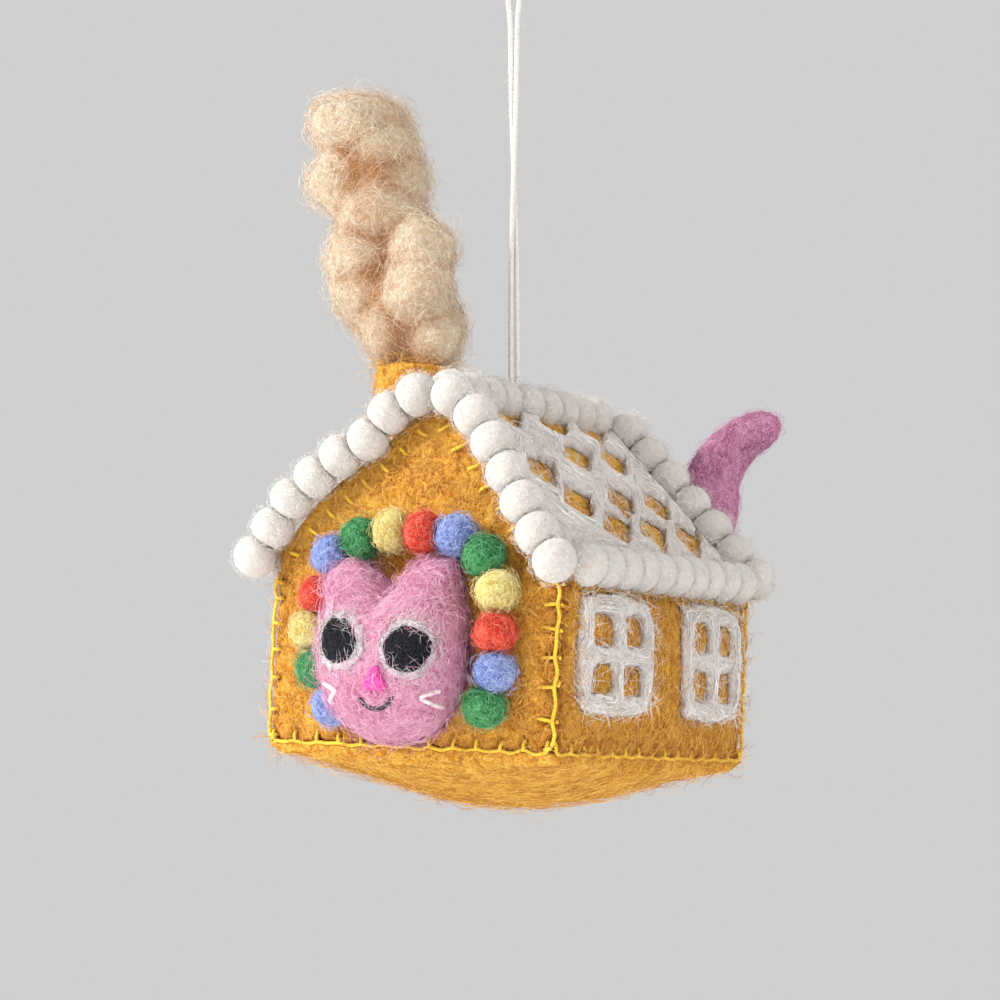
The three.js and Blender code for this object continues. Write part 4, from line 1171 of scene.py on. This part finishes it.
def head_radius(angle):
    """Outline of the head: squarer above than below, with a bump at each ear and a dip at the brow."""
    turn = np.mod(angle + np.pi / 2, 2 * np.pi) - np.pi / 2
    top = np.sin(turn) > 0
    power, tall = np.where(top, 3.3, 1.95), np.where(top, HEAD_UP, HEAD_DOWN)
    oblong = 1 / rounded(np.cos(turn) / HEAD_ACROSS, np.sin(turn) / tall, power)
    for middle, length, width, sharp in EARS:
        off = np.abs(turn - math.radians(middle)) / math.radians(width)
        oblong = oblong + length * np.exp(-(off**sharp))
    return oblong


def head_front(x, z):
    """Depth of the head's face: stands off the wall by a dome over its outline, thin at the ear tips and
    fuller at the muzzle."""
    dx, dz = x - HEAD_X, z - HEAD_Z
    share = np.minimum(1, np.hypot(dx, dz) / head_radius(np.arctan2(dz, dx)))
    muzzle = 1.0 * np.exp(-(((x - 2.9) / 6.5) ** 2) - ((z - 12) / 4.5) ** 2)
    dome = HEAD_DEPTH * (1 - 0.63 * np.clip((z - 28) / 17, 0, 1)) * np.sqrt(1 - share**4.5)
    return front_face(x, z) - 0.3 - dome - muzzle * (1 - share)


def head():
    """The head from rings of its outline: small to full in front, then back against the wall."""
    angle = circle(200)
    share = np.sin(np.linspace(0.02, 1, 48) * np.pi / 2) ** 0.9
    r = share[:, None] * head_radius(angle)
    x, z = HEAD_X + r * np.cos(angle), HEAD_Z + r * np.sin(angle)
    y = head_front(x, z)
    y[-1] = front_face(x[-1], z[-1]) - 2.4
    behind = np.array([0.985, 0.93, 0.7, 0.3])[:, None] * head_radius(angle)
    xb, zb = HEAD_X + behind * np.cos(angle), HEAD_Z + behind * np.sin(angle)
    backs = xyz(xb, front_face(xb, zb) - HEAD_GAP, zb)
    rings = felt_noise(np.concatenate([xyz(x, y, z), backs]), 5, 0.3, 301)
    first = HEAD_X, head_front(HEAD_X, HEAD_Z), HEAD_Z
    last = HEAD_X, front_face(HEAD_X, HEAD_Z) - HEAD_GAP, HEAD_Z
    return closed_rings(rings, first, last)


def patch(x0, z0, radius, trefoil, lift, thick, seed, right=1.0):
    """A felted patch on the face: a low dome within an outline that wanders a little; right is the share
    of its width kept on its right side, where the face turns away."""
    angle = circle(72)
    share = np.linspace(0.06, 1, 18)[:, None]
    p = xyz(np.cos(angle), np.sin(angle), seed)
    wander = 1 + 0.05 * value_noise(p * 3, 1.1, seed)
    r = share * radius * (1 - trefoil * np.sin(3 * angle)) * wander
    x, z = x0 + r * np.cos(angle) * np.where(np.cos(angle) > 0, right, 1), z0 + r * np.sin(angle)
    face = head_front(x, z) - lift
    top = xyz(x, face - thick * np.sqrt(np.clip(1 - share**3, 0, 1)), z)
    under = xyz(x, face + PATCH_SUNK, z)[::-1][1:]
    rings = np.concatenate([felt_noise(top, 1.8, 0.12, seed), under])
    middle = head_front(x0, z0) - lift
    return closed_rings(rings, (x0, middle - thick, z0), (x0, middle + PATCH_SUNK, z0))


head_shape = head()
piece("felted_head", head_shape, "cat_pink_felt", nodes=["cat_head"])
EYE_RADIUS, PUPIL_RADIUS, NOSE_RADIUS = 6.75, 5.2, 2.75
# Middle of each eye, across and up, and the share of its width kept on its right
EYES = {"right": (10.4, 21.5, 0.8), "left": (-7.4, 22.9, 1.0)}
NOSE_AT = (3.1, 14.2)
eyes, pupils = {}, {}
for name, s in SIDES.items():
    ex, ez, kept = EYES[name]
    eyes[name] = patch(ex, ez, EYE_RADIUS, 0, 0.1, 0.9, 320 + s, kept)
    pupils[name] = patch(ex + 0.1 * s, ez, PUPIL_RADIUS, 0, 0.85, 0.9, 330 + s, kept**0.5)
    piece(f"needled_eye_{name}", eyes[name], "eye_white_wool", nodes=[f"eye_white_{name}"])
    piece(f"needled_pupil_{name}", pupils[name], "pupil_wool", nodes=[f"pupil_{name}"])
nose_shape = patch(*NOSE_AT, NOSE_RADIUS, 0.2, 0.1, 1.5, 341)
piece("needled_nose", nose_shape, "nose_wool", nodes=["nose"])

# The tail's route as shares of half the width, half the depth and the ridge's height, and its radii
TAIL_ROOT, TAIL_BELLY, TAIL_TIP = 6.2, 7.3, 4.2
TAIL_ROUTE = np.array([(0.43, 0.96, 0.545), (0.5, 1.1, 0.6), (0.54, 1.22, 0.68), (0.55, 1.26, 0.775),
                       (0.57, 1.26, 0.855), (0.64, 1.26, 0.92), (0.78, 1.26, 0.98), (1.03, 1.25, 1.035)])


def tail():
    """Tail: round rings along its curve, widest in the lower half and closing to a blunt tip."""
    line, _ = smooth_route(TAIL_ROUTE * (HALF_WIDTH, HALF_DEPTH, RIDGE), 0.6)
    share = np.linspace(0, 1, len(line))
    body = TAIL_ROOT + (TAIL_BELLY - TAIL_ROOT) * np.sin(np.minimum(1, share / 0.6) * np.pi / 2)
    taper = np.where(share < 0.5, body, body + (TAIL_TIP - body) * (share - 0.5) / 0.5)
    radius = taper * np.sqrt(np.clip(1 - np.clip((share - 0.88) / 0.12, 0, 1) ** 2, 0, 1))
    tangent = unit(np.gradient(line, axis=0))
    side = unit(np.cross(tangent, [0, 1, 0.2]))
    angle = circle(48)[:, None]
    round_it = np.cos(angle) * side[:-1, None] + np.sin(angle) * np.cross(side, tangent)[:-1, None]
    rings = line[:-1, None] + radius[:-1, None, None] * round_it
    wall = back_face(rings[..., 0], np.maximum(0, rings[..., 2])) + TAIL_GAP
    rings[..., 1] = np.maximum(rings[..., 1], wall)
    first = line[0].copy()
    first[1] = back_face(first[0], first[2]) + TAIL_GAP
    return closed_rings(felt_noise(rings, 4, 0.3, 351), first, line[-1])


tail_shape = tail()
piece("felted_tail", tail_shape, "tail_pink_felt", nodes=["cat_tail"])


# Chimney and smoke
def chimney():
    """A felt roll: a round wall standing on the left slope, with a softened rim and a flat top."""
    cx, cy, top = CHIMNEY
    angle = circle(96)
    # The foot's middle, the upright wall and the rim's rings, as radius, share of the height and drop
    radius = np.concatenate([[5], np.full(30, CHIMNEY_RADIUS), [9.8, 9.4, 8.6, 7, 4.5, 2]])
    share = np.concatenate([[0], np.linspace(0, 1, 30), np.ones(6)])
    drop = np.concatenate([np.full(31, 1.6), [0.9, 0.4, 0.1, 0, 0, 0]])
    x, y = cx + radius[:, None] * np.cos(angle), cy + radius[:, None] * np.sin(angle)
    foot = roof_top(x) + 0.8
    z = foot + share[:, None] * (top - drop[:, None] - foot)
    rings = felt_noise(xyz(x, y, z), 4, 0.22, 361)
    return closed_rings(rings, (cx, cy, float(roof_top(cx)) + 0.8), (cx, cy, top))


SMOKE_HEIGHT, SMOKE_REACH, BLEND = 64, 23, 5.5
# Puffs as shares of the smoke's height: middle from the chimney's top, radius across, radius up
PUFFS = SMOKE_HEIGHT * np.array([
    (-0.34, -0.03, 0.925, 0.168, 0.105), (-0.27, 0.07, 0.9, 0.115, 0.105), (-0.225, 0.01, 0.81, 0.13, 0.11),
    (-0.36, -0.045, 0.703, 0.124, 0.12), (-0.19, 0.045, 0.703, 0.135, 0.124),
    (-0.2, -0.02, 0.577, 0.142, 0.12), (0, 0, 0.43, 0.12, 0.135), (-0.267, -0.015, 0.408, 0.142, 0.135),
    (-0.2, 0.075, 0.49, 0.127, 0.127), (-0.236, 0.015, 0.275, 0.15, 0.127),
    (0.02, -0.045, 0.273, 0.124, 0.12), (0.02, 0.045, 0.154, 0.112, 0.112),
    (-0.13, -0.03, 0.13, 0.112, 0.12), (0.1, -0.015, 0.081, 0.097, 0.09),
    (-0.086, 0.045, 0.108, 0.127, 0.097),
])
PUFF_MIDDLES, PUFF_RADII = PUFFS[:, :3] + CHIMNEY, PUFFS[:, [3, 3, 4]]


def smoke_field(p):
    """Blend of the puffs at a point, nought on the smoke's surface; and the share that a second puff adds
    to it, one midway between two."""
    away = np.linalg.norm((p[..., None, :] - PUFF_MIDDLES) / PUFF_RADII, axis=-1)
    near = away.min(-1)
    joined = np.log(np.exp(BLEND * (near[..., None] - away)).sum(-1))
    return 1 - near + joined / BLEND, joined / math.log(2)


# The smoke's spine as shares of its height: how high, and how far to the right there
SPINE_RISE = [0.03, 0.12, 0.3, 0.42, 0.577, 0.7, 0.81, 0.93]
SPINE_ACROSS = [-0.02, -0.03, -0.11, -0.13, -0.2, -0.26, -0.28, -0.32]


def spine_at(rise):
    """The smoke's spine at a share of its height, as a point of the house."""
    return xyz(np.interp(rise, SPINE_RISE, SPINE_ACROSS), 0, rise) * SMOKE_HEIGHT + CHIMNEY


def painted_shade_and_tone(p):
    """Painted shade on the smoke's wool: most where puffs meet and near the spine, with clouds that vary its
    tone.
    """
    out = np.linalg.norm((p - spine_at((p[..., 2] - CHIMNEY[2]) / SMOKE_HEIGHT))[..., :2], axis=-1)
    share = 0.9 * smoke_field(p)[1] + 0.7 * np.clip((11.5 - out) / 5, 0, 1) - 0.25
    return np.clip(share + 0.4 * value_noise(p, 9, 391), 0, 1)


def smoke():
    """Smoke: rays fan out from a rising spine and each stops at the blended surface of the puffs, ellipsoids
    of wool; lumps swell the whole."""
    angle = circle(130)
    v = np.linspace(0.004, 0.996, 150)
    rise = np.interp(v, [0, 0.07, 0.88, 1], [0.06, 0.09, 0.9, 0.91])
    pitch = np.interp(v, [0, 0.1, 0.86, 1], [-np.pi / 2, 0, 0, np.pi / 2])[:, None]
    origin = spine_at(rise)[:, None]
    ray = xyz(np.cos(pitch) * np.cos(angle), np.cos(pitch) * np.sin(angle), np.sin(pitch))
    reach = np.zeros(ray.shape[:2])
    for t in np.arange(SMOKE_REACH, 0.5, -0.3):
        reach = np.where((reach == 0) & (smoke_field(origin + t * ray)[0] > 0), t, reach)
    for _ in range(22):
        reach = (reach + np.roll(reach, 1, 1) + np.roll(reach, -1, 1)) / 3
        reach[1:-1] = (reach[1:-1] + reach[2:] + reach[:-2]) / 3
    p = origin + reach[..., None] * ray
    p = p + ray * (0.9 * lumps(p, 5.5, 371, 4))[..., None]
    p[..., 2] = np.maximum(p[..., 2], CHIMNEY[2] + 0.3)
    return closed_rings(p, p[0].mean(0), p[-1].mean(0))


chimney_shape = chimney()
smoke_shape = smoke()
# the smoke's tint attribute carries its painted shade, with clouds of tone
smoke_shade_and_tone = painted_shade_and_tone(smoke_shape[0])
piece("felt_chimney", chimney_shape, "gingerbread_felt", nodes=["chimney"])
piece("wool_smoke", smoke_shape, "smoke_wool", nodes=["smoke_puff"], tint=smoke_shade_and_tone)


# Stitches
THREAD_STEP, THREAD_LEAD, SEWING_RADIUS = 0.35, 2.2, 0.46
# Points along a blanket stitch's leg: share of its length, height off the felt, share of its lean
LEG_REACH, LEG_LIFT, LEG_LEAN = np.array([
    (0, 0.1, 0), (0.3, 0.3, 0.3), (0.75, 0.15, 0.8), (1, -0.3, 1), (1.08, -0.9, 1),
]).T[..., None]


def laid_thread(routes, ups, radius):
    """Two-ply threads through the points of each route, lying on the felt."""
    lines = [smooth_route(np.asarray(route, float), THREAD_STEP)[0] for route in routes]
    return join([plied(line, up, radius, 2, THREAD_LEAD, THREAD_STEP, 8) for line, up in zip(lines, ups)])


def blanket_stitch(fixed, inward, facing, places, legs, seed, bar=True):
    """Blanket stitch: a thread along the seam, and from each place a leg up the felt that dives in at its
    end. fixed gives the seam's coordinates, None for the one that runs along it; inward is the way the legs
    go and facing the felt's front."""
    def seam(t):
        return xyz(*(t if value is None else value for value in fixed))

    rng = np.random.RandomState(seed)
    inward, facing = np.array(inward, float), np.array(facing, float)
    t = np.array(places, float)
    between = np.sort(np.concatenate([t, (t[1:] + t[:-1]) / 2]))
    line = seam(between) + np.where(np.isin(between, t), 0.15, -0.25)[:, None] * inward
    line = line + rng.normal(0, 0.12, line.shape)
    along = unit(seam(t[-1:]) - seam(t[:1]))[0]
    routes, ups = ([line], [facing]) if bar else ([], [])
    for at, size in zip(t, np.broadcast_to(legs, t.shape)):
        foot = seam(np.array([at]))[0]
        lean = rng.normal(0, 0.35) * along
        size = size * rng.uniform(0.88, 1.12)
        routes.append(foot + LEG_REACH * size * inward + LEG_LIFT * facing + LEG_LEAN * lean)
        ups.append(along)
    return laid_thread(routes, ups, SEWING_RADIUS)


UP = (0, 0, 1)
TINY_LEG = 1.1
# Heights and distances of the seams: the base seam, and the wall corners seen from the front and the side
BASE_LINE, SIDE_LINE = -0.2, HALF_WIDTH + 0.1
CORNER_FACE, CORNER_SIDE, CORNER_BACK = 43.1, 39.3, 42.9
# Each seam's fixed coordinates, inward, facing, places, legs, seed, and False where no thread runs along it
SEAMS = {
    "base": [
        ((None, -HALF_DEPTH, BASE_LINE), UP, (0, -1, 0), FRONT_SPOTS, BASE_LEG, 601),
        ((None, HALF_DEPTH, BASE_LINE), UP, (0, 1, 0), FRONT_SPOTS, BASE_LEG, 602),
        ((SIDE_LINE, None, BASE_LINE), UP, (1, 0, 0), LONG_SPOTS, BASE_LEG, 603),
        ((-SIDE_LINE, None, BASE_LINE), UP, (-1, 0, 0), LONG_SPOTS, BASE_LEG, 604),
    ],
    "corners": [
        ((HALF_WIDTH, -CORNER_FACE, None), (-1, 0, 0), (0, -1, 0), CORNER_SPOTS, CORNER_LEGS, 611),
        ((CORNER_SIDE, -CORNER_BACK, None), (0, 1, 0), (1, 0, 0), CORNER_SPOTS, TINY_LEG, 612, False),
        ((CORNER_SIDE, CORNER_BACK, None), (0, -1, 0), (1, 0, 0), CORNER_SPOTS, TINY_LEG, 613, False),
        ((HALF_WIDTH, CORNER_FACE, None), (-1, 0, 0), (0, 1, 0), CORNER_SPOTS, SMALL_LEG, 614),
        ((-HALF_WIDTH, -CORNER_FACE, None), (1, 0, 0), (0, -1, 0), CORNER_SPOTS, SMALL_LEG, 615),
        ((-HALF_WIDTH, CORNER_FACE, None), (1, 0, 0), (0, 1, 0), CORNER_SPOTS, SMALL_LEG, 616),
    ],
}
stitching = {name: join([blanket_stitch(*row) for row in seams]) for name, seams in SEAMS.items()}


def rake_stitches(side, face, inward, rise, seed):
    """Single slanted legs down each gable from under the balls, rise square to the slope."""
    rng = np.random.RandomState(seed)
    routes, ups = [], []
    for x in np.arange(3.5, 37, 4.6):
        size = rng.uniform(3.4, 4.8)
        shares, offs = np.array([-0.25, 0.1, 0.5, 0.9, 1.05]), np.array([-0.4, 0.45, 0.55, 0.35, -0.6])
        px = side * (x + 0.7 * rise - 0.62 * size * shares + rng.normal(0, 0.06, 5))
        pz = gable_top(px) + 1.4 * rise - 1.0 - 0.95 * size * shares
        routes.append(xyz(px, face(px, pz) - inward * offs, pz))
        ups.append((side, 0, 1))
    return laid_thread(routes, ups, SEWING_RADIUS)


stitching["rakes"] = join([
    rake_stitches(1, front_face, 1, 1.5, 621), rake_stitches(-1, front_face, 1, 0, 622),
    rake_stitches(1, back_face, -1, 0, 623), rake_stitches(-1, back_face, -1, 0, 624),
])
for name, shape in stitching.items():
    piece(f"stitching_{name}", shape, "gingerbread_felt", YELLOW_THREAD)


def on_face(points, lift):
    """Points of a stitch across and up, laid on the head's face and lifted off it, its ends sunk in."""
    p = np.array(points, float)
    line = xyz(p[:, 0], head_front(p[:, 0], p[:, 1]) - lift, p[:, 1])
    line[[0, -1], 1] += lift + 0.6
    return line


MOUTH = [(-1.4, 10.5), (-1.2, 10.1), (0.2, 8.6), (2.8, 7.9), (5.3, 8.8), (6.8, 10.4), (7, 10.8)]
mouth = on_face(MOUTH, 0.4)
piece("mouth_stitch", laid_thread([mouth], [(0, -1, 0)], 0.55), "pupil_wool", BLACK_THREAD)
WHISKERS = (((14.9, 12.5), (12.2, 10.9)), ((13.9, 9.0), (12.2, 10.9)),
            ((-12.6, 13.4), (-8.4, 11.8)), ((-11.8, 9.0), (-8.4, 11.8)))
along_whisker = np.array([0, 0.08, 0.35, 0.65, 0.92, 1])[:, None]
whiskers = [on_face(np.array(a) + along_whisker * (np.array(b) - a), 0.45) for a, b in WHISKERS]
piece("whisker_stitches", laid_thread(whiskers, [(0, -1, 0)] * 4, 0.6), "eye_white_wool", WHITE_YARN)


# Coats of loose fibres
HOUSE_MIDDLE = (0, 0, 30.0)


def outside(points, facing):
    """True on the outer side of the house's panels, away from the hidden inner faces."""
    return np.sum((points - HOUSE_MIDDLE) * facing, -1) > 6


def clear_of(name):
    """True on a side wall's outer side where no icing covers it."""
    def keep(points, facing):
        free = outside(points, facing)
        for (side, _), sheet in windows.items():
            if side == name:
                free &= sheet["inside"](points) < 0.3
        return free

    return keep


def in_holes(name):
    """True on a slope's outer side in the openings of its lattice and round it."""
    inside = lattices[name]["inside"]
    return lambda points, facing: outside(points, facing) & (inside(points) < 0.3)


def bare_face(points, facing):
    """True on the head outside its eyes and its nose."""
    away = [(x, z, 6.0) for x, z, _ in EYES.values()] + [(*NOSE_AT, 2.4)]
    off = [np.hypot(points[:, 0] - x, points[:, 2] - z) > r for x, z, r in away]
    return np.all(off, axis=0) | (facing[:, 1] > 0)


# Coats of the gingerbread panels: fibres that lie flat, longer ones that stand off, seed, places and steps
for name, count, long, seed, keep, steps in (
    ("front", 6400, 200, 701, outside, 5),
    ("back", 2700, 60, 711, outside, 4),
    ("base", 3800, 140, 721, outside, 5),
    ("side_right", 5800, 90, 731, clear_of("right"), 5),
    ("side_left", 3000, 50, 735, clear_of("left"), 4),
    ("slope_right", 1500, 10, 746, in_holes("right"), 4),
    ("slope_left", 1500, 10, 744, in_holes("left"), 4),
    ("chimney", 1500, 40, 751, None, 4),
):
    shape, *_, axis = panels.get(name, (chimney_shape, None))
    # the walls' fibres take the same painted seam shade
    shade = None if axis is None else functools.partial(seam_shade, axis=axis)
    fuzz(f"fuzz_{name}", [
        coat(shape, count, (2.5, 7), seed, FLAT, 3.2, 0.052, steps, keep, shade=shade),
        coat(shape, long, (5, 10), seed + 2, (0.75, -0.1), 3, 0.03, 7, keep),
    ], FIBRES["ochre"], "gingerbread_felt")
PER_BALL = 430
for k, (node, shape) in enumerate(white_rows.items()):
    count = PER_BALL * len(rows[node])
    short = coat(shape, count, (1.0, 3.1), 761 + 3 * k, (0.62, 0.1), 2.6, 0.042, 3, bow=0.22)
    fuzz(f"fuzz_{node}", [short], FIBRES["white"], "white_ball_felt")
for k, colour in enumerate(ARCH_COLOURS):
    lots = [
        coat(arch_balls[i], 310, (1.5, 4.5), 801 + 3 * i, (0.42, 0.1), 3, 0.045, bow=0.2)
        for i in range(k, len(arch_balls), len(ARCH_COLOURS))
    ]
    fuzz(f"fuzz_arch_{colour}", lots, FIBRES[colour], f"{colour}_ball_felt")


def strays(sheet, count, seed):
    """Fine fibres that cross an icing's edge, out over the felt or back over the icing."""
    rim, across = sheet["rim"], sheet["across"]
    return coat(sheet["shape"], count, (2, 5.5), seed, (0.5, -0.35), 3, 0.032, 4, rim, across, sink=0.1)


for k, (name, sheet) in enumerate(lattices.items()):
    shape, flow = sheet["shape"], sheet["flow"]
    fuzz(f"fuzz_lattice_{name}", [
        coat(shape, 1500, (2, 6), 861 + 3 * k, FLAT, 1.2, 0.05, keep=off_knot, flow=flow, sink=0.1),
        strays(sheet, 1700, 867 + 3 * k),
        coat(shape, 300, (3, 6), 863 + 3 * k, (0.6, 0), 3, 0.035, keep=off_knot, sink=0.1),
        rovings(sheet, 700, 865 + 3 * k),
    ], FIBRES["icing"], "icing_wool")
for k, ((name, end), sheet) in enumerate(windows.items()):
    shape, flow = sheet["shape"], sheet["flow"]
    count = 1200 if name == "right" else 700
    fuzz(f"fuzz_window_{name}_{end}", [
        coat(shape, count, (2, 5.5), 871 + 3 * k, FLAT, 1.2, 0.05, flow=flow, sink=0.1),
        coat(shape, 120, (3, 6), 873 + 3 * k, (0.6, 0), 3, 0.035, sink=0.1),
        rovings(sheet, count // 5, 875 + 3 * k),
        strays(sheet, count // 3, 877 + 3 * k),
    ], FIBRES["icing"], "icing_wool")
fuzz("fuzz_head", [
    coat(head_shape, 6500, (2.5, 6.5), 901, (0.4, -0.1), 3.2, 0.045, keep=bare_face, bow=0.03),
    coat(head_shape, 280, (4, 8), 903, (0.9, 0.1), 3, 0.03, 7, bare_face),
], FIBRES["pink"], "cat_pink_felt")
tail_coat = coat(tail_shape, 2400, (1.2, 3.8), 911, (0.5, 0), 3, 0.04, 4, bow=0.12)
fuzz("fuzz_tail", [tail_coat], FIBRES["tail"], "tail_pink_felt")
for name, s in SIDES.items():
    ex, ez, _ = EYES[name]

    def ring_only(points, facing, ex=ex, ez=ez):
        return np.hypot(points[:, 0] - ex, points[:, 2] - ez) > 5.0

    white = coat(eyes[name], 600, (1.5, 4), 921 + s, FLAT, 2, 0.036, keep=ring_only, sink=0.1)
    black = coat(pupils[name], 450, (1.2, 3.4), 931 + s, FLAT, 2, 0.036, sink=0.1)
    fuzz(f"fuzz_eye_{name}", [white], FIBRES["white"], "eye_white_wool")
    fuzz(f"fuzz_pupil_{name}", [black], FIBRES["black"], "pupil_wool")
nose_coat = coat(nose_shape, 200, (1, 2.5), 941, FLAT, 2, 0.034, sink=0.1)
fuzz("fuzz_nose", [nose_coat], FIBRES["nose"], "nose_wool")
SMOKE_MIDDLE = CHIMNEY[2] + 30
for name, sign in (("lower", -1), ("upper", 1)):

    def half(points, facing, sign=sign):
        return sign * (points[:, 2] - SMOKE_MIDDLE) > 0

    # the curls take the smoke's painted shade
    curls = coat(
        smoke_shape, 4700, (3.5, 9), 951 + sign, (0.42, -0.1), 5, 0.038, 6, half, bow=0.09, shade=painted_shade_and_tone
    )
    wisps = coat(smoke_shape, 300, (5, 12), 955 + sign, (0.9, 0.1), 4, 0.024, 9, half, bow=0.06)
    fuzz(f"fuzz_smoke_{name}", [curls, wisps], FIBRES["smoke"], "smoke_wool")

# Floor, light and background
FLOOR_RADIUS, FLOOR_HEIGHT, FLOOR_STEPS = 0.7, -0.5, 128
floor_material, tree, shader = start_material("studio_floor")
grain = noise(tree, in_millimetres(tree), 0.02, 2)
paint = blend_colour(tree, grain, (0.37, 0.37, 0.37, 1), (0.4, 0.4, 0.4, 1))
wire(tree, shader, {"Base Color": paint, "Roughness": 0.9})
angle = circle(FLOOR_STEPS)
rim = xyz(FLOOR_RADIUS * np.cos(angle), FLOOR_RADIUS * np.sin(angle), FLOOR_HEIGHT)
ids = np.arange(FLOOR_STEPS)
floor_mesh = bpy.data.meshes.new("studio_floor")
fan = np.stack([0 * ids, 1 + ids, 1 + (ids + 1) % FLOOR_STEPS], -1)
floor_mesh.from_pydata([(0, 0, FLOOR_HEIGHT), *rim.tolist()], [], fan.tolist())
floor_mesh.materials.append(floor_material)
floor = new_object("studio_floor", floor_mesh)


def lamp(name, place, aim, size, power):
    """A soft square lamp of a size in metres and a power in watts, turned to its aim."""
    data = bpy.data.lights.new(name, "AREA")
    data.energy, data.size = power, size
    obj = new_object(name, data)
    obj.location = place
    back = unit(np.array(place) - np.array(aim))
    side = unit(np.cross([0, 0, 1], back))
    obj.visible_camera = False
    obj.rotation_euler = Matrix(np.stack([side, np.cross(back, side), back], -1).tolist()).to_euler()


lamp("key_lamp", (-0.68, -0.57, 0.35), (0, 0, -0.15), 0.22, 14.5)
lamp("low_lamp", (-0.3, -0.6, -0.42), (0, 0, -0.17), 0.4, 2.0)
lamp("side_lamp", (0.9, -0.35, 0.0), (0, 0, -0.15), 0.5, 4.4)
lamp("bounce_lamp", (0.03, -0.2, -0.41), (0, 0, -0.18), 0.25, 0.75)
world = bpy.data.worlds.new("studio")
bpy.context.scene.world = world
world.use_nodes = True
tree = world.node_tree
tree.nodes.clear()
rays = add(tree, "ShaderNodeLightPath").outputs
seen = combine(tree, rays["Is Camera Ray"], rays["Is Glossy Ray"], "MAXIMUM")
seen = combine(tree, seen, rays["Is Transmission Ray"], "MAXIMUM")
soft = add(tree, "ShaderNodeBackground", {"Color": (1, 1, 1, 1), "Strength": 0.85})
plain = add(tree, "ShaderNodeBackground", {"Color": srgb(207, 207, 207), "Strength": 1.0})
both = add(tree, "ShaderNodeMixShader", {0: seen, 1: soft.outputs[0], 2: plain.outputs[0]})
add(tree, "ShaderNodeOutputWorld", {"Surface": both.outputs[0]})
bpy.context.scene.view_settings.view_transform = "Standard"
